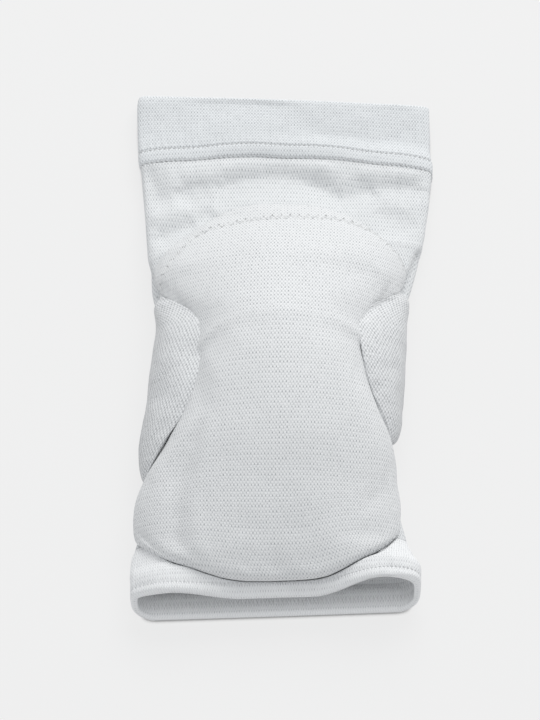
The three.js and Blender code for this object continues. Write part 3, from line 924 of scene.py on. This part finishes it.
def seam_map(obj, across, along, far=20 * MM):
    """A UV map with how far each vertex is along a seam and beside it, in metres."""
    mesh = obj.data
    place = per_vertex(mesh, "place")
    at, around = front_place(across, along)
    run = run_along(over_tube(at, around, front_thickness(across, along)))
    share = np.interp(place[:, 0], across, run)
    beside = (place[:, 1] - np.interp(place[:, 0], across, along)) * PAD_RUN
    beside = beside + far * (np.abs(place[:, 0]) > across.max())
    values = np.stack([share, np.clip(beside, -far, far)], -1)
    add_map(mesh, "seam", values[corner_vertices(mesh)])


def emboss(obj, height):
    """Moves the upper face out along its normal by a height worked out from place and cloth."""
    mesh = obj.data
    place, cloth, face = (per_vertex(mesh, k) for k in ("place", "cloth", "face"))
    lift = height(place[:, 0], place[:, 1], cloth[:, 0], cloth[:, 1]) * smooth(face[:, 0])
    co = coordinates(mesh) + normals(mesh) * lift[:, None]
    co[:, 2] = np.maximum(co[:, 2], 0)
    mesh.vertices.foreach_set("co", co.ravel())
    mesh.update()
    for key in ("place", "face"):
        mesh.uv_layers.remove(mesh.uv_layers[key])


# %% [markdown]
# What the swell can't give is drawn in afterwards: the bend line across the knee, the flattened
# flank at the lower left, the pockets under the upper corners and the pull of the zigzag seam along
# the upper edge. The side pads get painted shade, darker towards their outer side and lower end.

# %% Relief of the pads
SEAM_COURSE = table(
    "across at",
    (-0.970, 0.400), (-0.900, 0.377), (-0.775, 0.339), (-0.650, 0.296), (-0.375, 0.276), (-0.108, 0.269),
    (0.050, 0.268), (0.367, 0.264), (0.675, 0.279), (0.783, 0.303), (0.875, 0.327), (0.975, 0.359),
)
PAD_RUN = 150 * MM
RIDGE_UP, RIDGE_HALF = 0.75 * MM, 2.0 * MM
RIDGE_DOWN, RIDGE_FOOT, RIDGE_FOOT_HALF = 0.60 * MM, 4.4 * MM, 3.0 * MM
FLANK_DENT, FLANK_RIM = 1.9 * MM, 0.5 * MM
SEAM_PULL, SEAM_PULL_HALF = 0.18 * MM, 1.5 * MM
POCKET = 1.0 * MM
PAD_SLOW, PAD_SMALL = 0.09 * MM, 0.05 * MM
SIDE_SLOW, SIDE_SMALL = 0.25 * MM, 0.12 * MM
# Strength of the painted shade on the side pads' outer side and lower end.
PAINTED_SIDE_SHADE = 0.13


def seam_along(across):
    """Where the zigzag seam runs, as a share along the pad."""
    top, _ = front_place(across, 0.0)
    bottom, _ = front_place(across, 1.0)
    return (between(SEAM_COURSE, "across", "at", across) - top) / (bottom - top)


def ridge_along(across):
    """Where the bend line crosses the pad. At the right it swings a little towards the thigh."""
    return 0.350 - 0.012 * np.maximum(0, across) ** 2 - 0.05 * np.maximum(0, across - 0.6)


def front_relief(across, along, u, v):
    """Height drawn on the front pad after the swell."""
    gap = (along - ridge_along(across)) * PAD_RUN
    ends = 0.25 + 0.75 * smooth((np.abs(across) - 0.30) / 0.5)
    ridge = RIDGE_UP * bump(gap, 0, RIDGE_HALF) - RIDGE_DOWN * bump(gap, RIDGE_FOOT, RIDGE_FOOT_HALF)
    lower = smooth((along - 0.58) / 0.08) * smooth((0.97 - along) / 0.06)
    flank = -FLANK_DENT * bump(across, -0.67, 0.08) * lower
    flank_edge = FLANK_RIM * bump(across, -0.51, 0.06) * lower
    seam = np.abs(along - seam_along(across)) * PAD_RUN
    pull = -SEAM_PULL * bump(seam, 0, SEAM_PULL_HALF)
    pocket = -POCKET * bump(np.abs(across), 0.91, 0.06) * bump(along, 0.19, 0.09)
    inner = smooth(along / 0.10) * smooth((0.985 - np.abs(across)) / 0.08)
    waves = PAD_SLOW * slow_waves(u + 0.9, v) + PAD_SMALL * small_waves(u + 0.4, v)
    return ridge * ends + flank + flank_edge + pull + pocket + inner * waves


def side_relief(across, along, u, v):
    """Soft waves in a side pad, none of them at its border."""
    edge = smooth((1 - np.abs(across)) / 0.25) * smooth((0.5 - np.abs(along - 0.5)) / 0.12)
    return edge * (SIDE_SLOW * slow_waves(u, v + 0.7) + SIDE_SMALL * small_waves(u, v))


def painted_side_shade(obj):
    """Painted shade on a side pad: darker towards its outer side and its lower end, which turn away from
    the light.
    """
    mesh = obj.data
    across, along = per_vertex(mesh, "place").T
    values = PAINTED_SIDE_SHADE * smooth((across + 0.75) / 1.3) * (0.6 + 0.4 * smooth(along / 0.5))
    values = values + 0.5 * PAINTED_SIDE_SHADE * smooth((along - 0.45) / 0.35)
    add_painted_shade(mesh, values)


# %% Make the three pads
SEAM_ACROSS = np.linspace(-0.97, 0.97, 400)
FRONT_CAP, SIDE_CAP = 1.1 * MM, 0.8 * MM
front_pad = patch("front_pad_cover", front_place, front_thickness, 44, 34, LEAN_AT, False)
side_covers = {
    name: patch(f"side_pad_{name}_cover", side_place(name), side_thickness, 34, 16, 1.0,
                pad["side"] < 0, side_lean(name))
    for name, pad in SIDE_PADS.items()
}
swell(front_pad, FRONT_CAP)
for cover in side_covers.values():
    swell(cover, SIDE_CAP)
for cover in (front_pad, *side_covers.values()):
    subdivide(cover, 2)
    if cover is front_pad:
        seam_map(cover, SEAM_ACROSS, seam_along(SEAM_ACROSS))
    else:
        painted_side_shade(cover)
    emboss(cover, front_relief if cover is front_pad else side_relief)
    print(cover.name, len(cover.data.polygons), "quads")


# %% [markdown]
# ## Threads
# Sewing thread is a thin round cord that lies on the cloth between two needle holes. Each stitch
# is one short closed tube, sunk at both ends. All the stitches of one seam are joined as one piece.
# The hem rows go round the front and the folds only, because the back lies on the surface unseen.

# %% Stitches
THREAD_SIDES = 6
THREAD_STEPS = 6
THREAD_ARCH = 1.6
THREAD_TIP = 0.45


def stitches(name, starts, ends, lifts, radius, sink):
    """One short tube from each start to each end, arched along its lift direction."""
    t = np.linspace(0, 1, THREAD_STEPS + 1)[None, :, None]
    arch = (np.sin(np.pi * t) ** 0.7 - sink) * radius * THREAD_ARCH
    centre = starts[:, None] * (1 - t) + ends[:, None] * t + lifts[:, None] * arch
    way = ends - starts
    way = way / np.linalg.norm(way, axis=1, keepdims=True)
    side = np.cross(way, lifts)
    side = side / np.linalg.norm(side, axis=1, keepdims=True)
    up = np.cross(side, way)
    turn = 2 * np.pi * np.arange(THREAD_SIDES) / THREAD_SIDES
    ring = side[:, None, None] * np.cos(turn)[:, None] + up[:, None, None] * np.sin(turn)[:, None]
    taper = radius * (THREAD_TIP + (1 - THREAD_TIP) * np.sin(np.pi * t) ** 0.5)
    points = centre[:, :, None] + ring * taper[..., None]
    points[..., 2] = np.maximum(points[..., 2], 0)
    count = len(starts)
    per = (THREAD_STEPS + 1) * THREAD_SIDES
    grid = np.arange(per).reshape(THREAD_STEPS + 1, THREAD_SIDES)
    a, b = grid[:-1], np.roll(grid, -1, 1)[:-1]
    c, d = np.roll(grid, -1, 1)[1:], grid[1:]
    tube_faces = np.stack([a, b, c, d], -1).reshape(-1, 4).tolist()
    faces = []
    for k in range(count):
        base = k * per
        faces += [[i + base for i in f] for f in tube_faces]
        faces.append([base + i for i in grid[0][::-1]])
        faces.append([base + i for i in grid[-1]])
    print(name, count, "stitches")
    return smooth_piece(name, points, faces)


ROW_REACH = 1.12


def hem_stitches(name, depth, relief, pitch, length, slope, radius, height, drawn=None):
    """A row of stitches round the front of the tube, each a little slanted."""
    count = int(2 * ROW_REACH * AROUND_LENGTH / pitch)
    middle = (np.arange(count) + 0.5) * pitch / AROUND_LENGTH - ROW_REACH
    half = length / 2 / AROUND_LENGTH
    ends = []
    for sign in (-1, 1):
        around = middle + sign * half * math.cos(slope)
        at = (depth - stitch_sway(around) + sign * length / 2 * math.sin(slope)) / LENGTH
        points = over_tube(at, around, relief(at, around) + height)
        ends.append(points if drawn is None else points + drawn(at, around, 0))
    at = (depth - stitch_sway(middle)) / LENGTH
    return stitches(name, ends[0], ends[1], outward(at, middle), radius, 0.2)


upper_row = hem_stitches("hem_stitches_upper", HEM_ROWS[0], thigh_relief, STITCH_PITCH,
                         1.5 * MM, 0.35, 0.17 * MM, 0.10 * MM)
lower_row = hem_stitches("hem_stitches_lower", HEM_ROWS[1], thigh_relief, STITCH_PITCH,
                         1.6 * MM, 0.45, 0.18 * MM, 0.12 * MM)
shin_row = hem_stitches("shin_rim_stitches", SHIN_STITCH_AT, shin_relief, SHIN_PITCH,
                        1.1 * MM, 0.2, 0.14 * MM, 0.08 * MM, shin_drawn)


# %% The zigzag seam on the front pad
def on_piece(obj, points, directions, reach=20 * MM):
    """Where a line from each point, against its direction, meets the piece."""
    hits, lifts = [], []
    for point, way in zip(points, directions):
        origin = Vector(point + way * reach)
        found, where, normal, _ = obj.ray_cast(origin, -Vector(way), distance=2 * reach)
        hits.append(where if found else Vector(point))
        lifts.append(normal if found else Vector(way))
    return np.array(hits), np.array(lifts)


ZIG_PITCH = 3.9 * MM
ZIG_HALF = 1.15 * MM
ZIG_RADIUS, ZIG_SINK = 0.16 * MM, 0.75
seam_at, seam_around = front_place(SEAM_ACROSS, seam_along(SEAM_ACROSS))
run = run_along(over_tube(seam_at, seam_around, 0.0))
corners = int(run[-1] / (ZIG_PITCH / 2))
where = np.interp(np.linspace(0, run[-1], corners), run, SEAM_ACROSS)
swing = np.where(np.arange(corners) % 2 == 0, 1, -1) * ZIG_HALF / PAD_RUN
corner_along = seam_along(where) + swing
corner_at, corner_around = front_place(where, corner_along)
corner_points = over_tube(corner_at, corner_around, front_thickness(where, corner_along))
corner_ways = outward(corner_at, corner_around)
corner_hits, corner_lifts = on_piece(front_pad, corner_points, corner_ways)
zigzag_seam = stitches("zigzag_seam", corner_hits[:-1], corner_hits[1:], corner_lifts[:-1],
                       ZIG_RADIUS, ZIG_SINK)

# %% [markdown]
# ## The knit
# The cloth is a fine knit. From above it reads as rows of small upright loops, each row shifted by
# half a loop, with tiny shadows between them. One node group makes that lattice from the cloth's
# own coordinates, with pitch, row height and slant as inputs, so the sleeve, the pad and the open
# mesh share it with their own values. Every other row of gaps is fainter. A bump map from it is
# enough, because a loop is finer than the mesh.

# %% Helpers for node groups
FLOAT, VECTOR = "NodeSocketFloat", "NodeSocketVector"


class Wires:
    """Short names for making and joining nodes in one tree."""

    def __init__(self, tree):
        self.tree = tree

    def add(self, kind, **settings):
        made = self.tree.nodes.new(kind)
        for key, value in settings.items():
            setattr(made, key, value)
        return made

    def put(self, target, source):
        if hasattr(source, "is_output"):
            self.tree.links.new(source, target)
        else:
            target.default_value = source

    def math(self, operation, a, b=None, c=None, clamp=False):
        made = self.add("ShaderNodeMath", operation=operation, use_clamp=clamp)
        for index, source in enumerate((a, b, c)):
            if source is not None:
                self.put(made.inputs[index], source)
        return made.outputs[0]

    def ramp(self, value, low, high, to_low=0.0, to_high=1.0):
        made = self.add("ShaderNodeMapRange", interpolation_type="SMOOTHSTEP")
        for index, source in enumerate((value, low, high, to_low, to_high)):
            self.put(made.inputs[index], source)
        return made.outputs[0]

    def split(self, vector):
        made = self.add("ShaderNodeSeparateXYZ")
        self.put(made.inputs[0], vector)
        return made.outputs

    def noise(self, where, scale, detail=2.0):
        made = self.add("ShaderNodeTexNoise", noise_dimensions="2D")
        for key, value in (("Vector", where), ("Scale", scale), ("Detail", detail)):
            self.put(made.inputs[key], value)
        return made.outputs[0]

    def centred(self, value, size):
        return self.math("MULTIPLY", self.math("SUBTRACT", value, 0.5), size)

    def mix(self, factor, first, second):
        made = self.add("ShaderNodeMix", data_type="RGBA")
        for key, value in (("Factor", factor), ("A", first), ("B", second)):
            self.put(made.inputs[key], value)
        return made.outputs["Result"]

    def group(self, tree, **values):
        made = self.add("ShaderNodeGroup", node_tree=tree)
        for key, value in values.items():
            self.put(made.inputs[key.replace("_", " ")], value)
        return made.outputs


def new_group(name, inputs, outputs):
    """A node group with named sockets. An input of None is a place, all others are numbers."""
    tree = bpy.data.node_groups.new(name, "ShaderNodeTree")
    for label, value in inputs.items():
        kind = VECTOR if value is None else FLOAT
        item = tree.interface.new_socket(name=label, in_out="INPUT", socket_type=kind)
        if value is not None:
            item.default_value = value
    for label in outputs:
        tree.interface.new_socket(name=label, in_out="OUTPUT", socket_type=FLOAT)
    wires = Wires(tree)
    start = wires.add("NodeGroupInput").outputs
    end = wires.add("NodeGroupOutput").inputs
    return wires, start, end


# %% The knit lattice
KNIT_NOISE, RIB_NOISE, SEAM_NOISE = 420, 160, 300


def make_knit_lattice():
    """Staggered rows of small upright gaps, with rounded loops between them."""
    wires, start, end = new_group(
        "knit lattice",
        {"Cloth": None, "Loop width": 1.38 * MM, "Row height": 1.1 * MM, "Slant": 0.0,
         "Looseness": 0.3, "Gap width": 0.38, "Gap height": 0.84, "Row contrast": -0.8},
        ("Height", "Gap"),
    )
    place = wires.split(start["Cloth"])
    wobble = wires.noise(start["Cloth"], KNIT_NOISE, 1.0)
    drift = wires.centred(wobble, start["Looseness"])
    row = wires.math("ADD", wires.math("DIVIDE", place[1], start["Row height"]), drift)
    row_number = wires.math("FLOOR", row)
    in_row = wires.math("SUBTRACT", wires.math("SUBTRACT", row, row_number), 0.5)
    shifted = wires.math("MULTIPLY", wires.math("MODULO", row_number, 2.0), 0.5)
    column = wires.math("ADD", wires.math("DIVIDE", place[0], start["Loop width"]), shifted)
    column = wires.math("ADD", column, wires.math("MULTIPLY", in_row, start["Slant"]))
    column = wires.math("ADD", column, wires.math("MULTIPLY", drift, 0.7))
    in_column = wires.math("SUBTRACT", column, wires.math("FLOOR", column))
    in_column = wires.math("SUBTRACT", in_column, 0.5)
    across = wires.math("DIVIDE", wires.math("MULTIPLY", in_column, 2.0), start["Gap width"])
    along = wires.math("DIVIDE", wires.math("MULTIPLY", in_row, 2.0), start["Gap height"])
    squared = wires.math("MULTIPLY", along, along)
    squared = wires.math("ADD", wires.math("MULTIPLY", across, across), squared)
    gap = wires.ramp(squared, 0.2, 1.35, 1.0, 0.0)
    between_rows = wires.ramp(wires.math("ABSOLUTE", in_row), 0.25, 0.5, 0.0, 0.46)
    uneven = wires.ramp(wobble, 0.25, 0.75, 0.65, 1.1)
    other_row = wires.math("MULTIPLY_ADD", shifted, start["Row contrast"], 1.0)
    gap = wires.math("MULTIPLY", wires.math("MULTIPLY", gap, uneven), other_row)
    wires.put(end["Gap"], wires.math("MAXIMUM", gap, wires.math("MULTIPLY", between_rows, 0.5)))
    wires.put(end["Height"], wires.math("SUBTRACT", 1.0, wires.math("MAXIMUM", gap, between_rows)))
    return wires.tree


def make_ribs():
    """Fine ribs along the cloth, a little unsteady."""
    wires, start, end = new_group(
        "fine ribs",
        {"Cloth": None, "Pitch": 1.4 * MM, "Waver": 0.35},
        ("Height", "Gap"),
    )
    drift = wires.centred(wires.noise(start["Cloth"], RIB_NOISE), start["Waver"])
    place = wires.split(start["Cloth"])
    turn = wires.math("ADD", wires.math("DIVIDE", place[0], start["Pitch"]), drift)
    wave = wires.math("COSINE", wires.math("MULTIPLY", turn, 2 * math.pi))
    height = wires.math("MULTIPLY_ADD", wave, 0.5, 0.5)
    wires.put(end["Height"], height)
    wires.put(end["Gap"], wires.math("SUBTRACT", 1.0, height, clamp=True))
    return wires.tree


def make_zigzag_marks():
    """Small dimples where a zigzag seam pulls the cloth in, at its turns and faintly between them."""
    wires, start, end = new_group(
        "zigzag marks",
        {"Seam": None, "Pitch": ZIG_PITCH, "Swing": 1.2 * MM, "Dimple": 0.55 * MM},
        ("Mark",),
    )
    place = wires.split(start["Seam"])
    noise = wires.noise(start["Seam"], SEAM_NOISE)
    off = wires.centred(noise, 1.2 * MM)
    run = wires.math("ADD", place[0], off)
    beside = wires.math("ADD", place[1], off)
    turn = wires.math("DIVIDE", run, start["Pitch"])
    share = wires.math("SUBTRACT", turn, wires.math("FLOOR", turn))
    tri = wires.math("ABSOLUTE", wires.math("MULTIPLY_ADD", share, 4.0, -2.0))
    tri = wires.math("SUBTRACT", tri, 1.0)
    line = wires.math("SUBTRACT", beside, wires.math("MULTIPLY", tri, start["Swing"]))
    thin = wires.ramp(wires.math("ABSOLUTE", line), 0.0, 0.45 * MM, 0.30, 0.0)
    near_turn = wires.math("SUBTRACT", 1.0, wires.math("ABSOLUTE", tri))
    along = wires.math("MULTIPLY", near_turn, wires.math("MULTIPLY", start["Pitch"], 0.25))
    squared = wires.math("MULTIPLY", line, line)
    away = wires.math("SQRT", wires.math("ADD", wires.math("MULTIPLY", along, along), squared))
    dot = wires.ramp(away, wires.math("MULTIPLY", start["Dimple"], 0.3), start["Dimple"], 1.0, 0.0)
    patchy = wires.ramp(noise, 0.35, 0.62, 0.35, 1.0)
    wires.put(end["Mark"], wires.math("MULTIPLY", wires.math("MAXIMUM", dot, thin), patchy))
    return wires.tree


def make_handled_cloth():
    """Slow unevenness of tone and a fine fuzz that every knit here shares."""
    wires, start, end = new_group(
        "handled cloth",
        {"Cloth": None, "Blotch size": 30 * MM, "Fuzz size": 0.5 * MM},
        ("Blotch", "Fuzz"),
    )
    for label in ("Blotch", "Fuzz"):
        scale = wires.math("DIVIDE", 1.0, start[label + " size"])
        wires.put(end[label], wires.noise(start["Cloth"], scale))
    return wires.tree


knit_lattice = make_knit_lattice()
fine_ribs = make_ribs()
handled_cloth = make_handled_cloth()
zigzag_marks = make_zigzag_marks()
print("node groups", [g.name for g in bpy.data.node_groups])

# %% [markdown]
# ## Materials
# All the cloth is white, but not one white: each knit has its own, held against the photo. The
# ribbed shin hem is the whitest; part of that is painted light, standing for the light on its rim
# and lip. The mesh of the side pads is open, so more shade sits in it. Knit scatters light from a
# haze of fibre ends, which sheen gives. Height from the groups feeds a Bump node, and the gaps
# darken the colour slightly with painted shade.

# %% Cloth materials
WHITE = (0.80, 0.812, 0.82)
SHADE = (0.38, 0.40, 0.42)
# The dark colour that painted shade mixes towards.
PAINTED_SHADE_DARK = (0.20, 0.20, 0.20)
FUZZ_TONE, GAP_TONE, BLOTCH_TONE = 0.25, 0.85, 0.05
ROUGH, FUZZ_ROUGH, FUZZ_BUMP = 0.82, 0.12, 0.30
SEAM_DENT = 2.0
SHEEN = 0.06


def new_material(name):
    """A material with the wires of its tree and its surface shader."""
    material = bpy.data.materials.new(name)
    material.use_nodes = True
    return material, Wires(material.node_tree), material.node_tree.nodes["Principled BSDF"]


def set_inputs(node, **values):
    """Sets a node's own sockets, each by its name."""
    for key, value in values.items():
        node.inputs[key.replace("_", " ")].default_value = value


def cloth_material(name, white, shade, values, gap_share, depth, mix_ribs=None, marks=None):
    """A knit: values for the lattice, how strongly its gaps darken with painted shade, how deep its
    loops are.
    mix_ribs gives the pitch and share of ribs in it, and marks the strength of painted shade at the
    zigzag."""
    material, wires, surface = new_material(name)
    where = wires.add("ShaderNodeUVMap", uv_map="cloth").outputs[0]
    made = wires.group(knit_lattice, Cloth=where, **values)
    height, gap = made["Height"], made["Gap"]
    if mix_ribs:
        ribs = wires.group(fine_ribs, Cloth=where, Pitch=mix_ribs[0])
        height = wires.math("MULTIPLY_ADD", ribs["Height"], mix_ribs[1], height)
    tone = wires.group(handled_cloth, Cloth=where)
    # The knit's gaps darken the colour: painted shade in the holes of the knit.
    gaps = wires.math("MULTIPLY", gap, GAP_TONE)
    fuzz = wires.math("MULTIPLY_ADD", tone["Fuzz"], FUZZ_TONE, gaps)
    blend = wires.math("MULTIPLY", fuzz, gap_share)
    blotch = wires.math("SUBTRACT", tone["Blotch"], 0.5)
    blend = wires.math("MULTIPLY_ADD", blotch, BLOTCH_TONE, blend, clamp=True)
    colour = wires.mix(blend, (*white, 1), (*shade, 1))
    # Painted shade read from each piece's own attribute: needle holes, hem rows and the side pads'
    # sides.
    painted_dark = wires.add("ShaderNodeAttribute", attribute_name="painted_shade").outputs["Fac"]
    # The zigzag's dimples get painted shade in the colour as well as a dent in the bump.
    if marks:
        seam_place = wires.add("ShaderNodeUVMap", uv_map="seam").outputs[0]
        sewn = wires.group(zigzag_marks, Seam=seam_place)["Mark"]
        height = wires.math("MULTIPLY_ADD", sewn, -SEAM_DENT, height)
        painted_dark = wires.math("MAXIMUM", painted_dark, wires.math("MULTIPLY", sewn, marks))
    wires.put(surface.inputs["Base Color"], wires.mix(painted_dark, colour, (*PAINTED_SHADE_DARK, 1)))
    wires.put(surface.inputs["Roughness"], wires.math("MULTIPLY_ADD", tone["Fuzz"], FUZZ_ROUGH, ROUGH))
    bump_node = wires.add("ShaderNodeBump")
    set_inputs(bump_node, Strength=0.9, Distance=depth)
    wires.put(bump_node.inputs["Height"], wires.math("MULTIPLY_ADD", tone["Fuzz"], FUZZ_BUMP, height))
    wires.put(surface.inputs["Normal"], bump_node.outputs[0])
    set_inputs(surface, Specular_IOR_Level=0.18, Sheen_Weight=SHEEN, Sheen_Roughness=0.5,
               Sheen_Tint=(1, 1, 1, 1))
    return material


sleeve_knit = cloth_material(
    "sleeve knit", WHITE, SHADE,
    {"Loop_width": 1.38 * MM, "Row_height": 1.04 * MM}, 0.85, 0.22 * MM)
pad_knit = cloth_material(
    "pad cover knit", (0.805, 0.812, 0.818), SHADE,
    {"Loop_width": 1.46 * MM, "Row_height": 1.11 * MM}, 0.85, 0.22 * MM, marks=0.55)
# The mesh's white is set above the others: partly its own colour, partly painted light for the lit inner
# tops of the side pads.
mesh_knit = cloth_material(
    "side pad mesh", (0.825, 0.835, 0.845), (0.36, 0.375, 0.39),
    {"Loop_width": 1.55 * MM, "Row_height": 1.14 * MM, "Looseness": 0.4, "Gap_width": 0.46,
     "Row_contrast": -0.4}, 0.72, 0.32 * MM)
band_knit = cloth_material(
    "hem knit", (0.79, 0.81, 0.825), SHADE,
    {"Loop_width": 1.35 * MM, "Row_height": 1.0 * MM, "Slant": 0.1}, 0.80, 0.20 * MM,
    (2.7 * MM, 0.3))
# The shin hem's white is lifted above the rest: partly its own colour, partly painted light for its rim
# and lip.
shin_knit = cloth_material(
    "shin hem rib", (0.87, 0.877, 0.885), SHADE,
    {"Loop_width": 1.1 * MM, "Row_height": 1.0 * MM, "Slant": 0.1, "Gap_width": 0.36}, 0.55,
    0.16 * MM, (1.10 * MM, 0.7))

# %% Thread materials
PLY_NOISE, PLY_DARK = 900, 0.82


def thread_material(name, colour):
    """Twisted thread: smoother than knit, with a fine change of tone from ply to ply."""
    material, wires, surface = new_material(name)
    noise = wires.add("ShaderNodeTexNoise")
    set_inputs(noise, Scale=PLY_NOISE)
    darker = (*[c * PLY_DARK for c in colour], 1)
    wires.put(surface.inputs["Base Color"], wires.mix(noise.outputs[0], (*colour, 1), darker))
    set_inputs(surface, Roughness=0.6, Sheen_Weight=0.1)
    return material


hem_thread = thread_material("hem thread", (0.80, 0.81, 0.82))
seam_thread = thread_material("zigzag thread", (0.78, 0.79, 0.79))

# %% Dress the pieces
DRESS = [
    (sleeve, sleeve_knit, ["sleeve"], "sleeve_knit"),
    (thigh_band, band_knit, ["thigh_band"], "band_knit"),
    (shin_band, shin_knit, ["shin_band"], "band_knit"),
    (front_pad, pad_knit, ["front_pad"], "pad_knit"),
    (side_covers["left"], mesh_knit, ["side_pad_left"], "mesh_knit"),
    (side_covers["right"], mesh_knit, ["side_pad_right"], "mesh_knit"),
    (upper_row, hem_thread, [], "band_knit"),
    (lower_row, hem_thread, [], "band_knit"),
    (shin_row, hem_thread, [], "band_knit"),
    (zigzag_seam, seam_thread, [], "pad_knit"),
]
for piece, material, nodes, slot in DRESS:
    piece.data.materials.clear()
    piece.data.materials.append(material)
    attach(piece, "root")
    if nodes:
        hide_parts(*nodes)

# %% [markdown]
# ## Floor, light and camera
# The pad lies on a plain pale surface in broad soft light. The light comes from above and from
# beyond the thigh end, so the slope that faces it is the brightest part and the shin end is a
# step darker. The surface is one even pale tone, so it gets a steady glow of its own, which fades
# only in a narrow line where the pad touches it: a painted contact shadow, read from an ambient
# occlusion node. The camera looks down at 67 degrees from the shin end through a long lens.

# %% Floor
FLOOR_HALF = 3.0
FLOOR_GLOW = 0.743
CONTACT_REACH = 2.2 * MM
CONTACT_DARK, CONTACT_OPEN, CONTACT_LEFT = 0.25, 0.85, 0.12
floor_mesh = bpy.data.meshes.new("pale_surface")
floor_corners = [(x * FLOOR_HALF, y * FLOOR_HALF, 0) for x, y in ((-1, -1), (1, -1), (1, 1), (-1, 1))]
floor_mesh.from_pydata(floor_corners, [], [(0, 1, 2, 3)])
pale_surface = in_scene("pale_surface", floor_mesh)
floor_paint, floor_wires, floor_surface = new_material("pale surface")
set_inputs(floor_surface, Base_Color=(0.12, 0.12, 0.12, 1), Roughness=0.9, Specular_IOR_Level=0.0,
           Emission_Color=(1, 1, 1, 1))
# Painted contact shadow: the floor's glow fades where ambient occlusion finds the pad close by.
nearby = floor_wires.add("ShaderNodeAmbientOcclusion", samples=8)
set_inputs(nearby, Distance=CONTACT_REACH)
open_air = floor_wires.ramp(nearby.outputs["AO"], CONTACT_DARK, CONTACT_OPEN, CONTACT_LEFT, 1.0)
glow = floor_wires.math("MULTIPLY", open_air, FLOOR_GLOW)
floor_wires.put(floor_surface.inputs["Emission Strength"], glow)
floor_mesh.materials.append(floor_paint)


# %% Lights
def soft_light(name, place, target, size, watts, colour):
    """A broad light at a place, turned to its target."""
    data = bpy.data.lights.new(name, "AREA")
    data.shape = "RECTANGLE"
    data.size, data.size_y = size
    data.energy = watts
    data.color = colour
    light = in_scene(name, data)
    light.location = place
    light.rotation_mode = "QUATERNION"
    light.rotation_quaternion = (Vector(place) - Vector(target)).to_track_quat("Z", "Y")


KEY_PLACE, KEY_SIZE, KEY_WATTS, KEY_COLOUR = (0.36, 1.27, 1.22), (1.4, 1.0), 19.9, (1.0, 0.995, 0.98)
SKY_COLOUR, SKY_STRENGTH = (0.97, 0.985, 1.0, 1), 0.72
soft_light("window above", KEY_PLACE, (0, 0, 0), KEY_SIZE, KEY_WATTS, KEY_COLOUR)
world = bpy.data.worlds.new("room")
bpy.context.scene.world = world
world.use_nodes = True
set_inputs(world.node_tree.nodes["Background"], Color=SKY_COLOUR, Strength=SKY_STRENGTH)
bpy.context.scene.view_settings.view_transform = "Standard"
bpy.context.scene.view_settings.look = "None"

# %% Camera
ELEVATION = math.radians(67)
DISTANCE = 2.2
PIXEL = 0.43 * MM
PICTURE_HIGH = 720
TUBE_AT_PIXEL = (280.0, 356.5)
PICTURE_MIDDLE = (270.0, 360.0)
SENSOR = 36.0
camera_data = bpy.data.cameras.new("camera")
camera_data.sensor_fit = "AUTO"
camera_data.sensor_width = SENSOR
camera_data.lens = SENSOR * DISTANCE / (PICTURE_HIGH * PIXEL)
camera_data.clip_start = 0.1
camera_data.clip_end = 20
camera_data.dof.use_dof = False
camera = in_scene("camera", camera_data)
back = Vector((0, -math.cos(ELEVATION), math.sin(ELEVATION)))
right = Vector((1, 0, 0))
up = Vector((0, math.sin(ELEVATION), math.cos(ELEVATION)))
aside = (PICTURE_MIDDLE[0] - TUBE_AT_PIXEL[0]) * PIXEL
above = -(PICTURE_MIDDLE[1] - TUBE_AT_PIXEL[1]) * PIXEL
camera.location = Vector(SHIFT) + back * DISTANCE + right * aside + up * above
camera.rotation_mode = "QUATERNION"
camera.rotation_quaternion = back.to_track_quat("Z", "Y")
bpy.context.scene.camera = camera
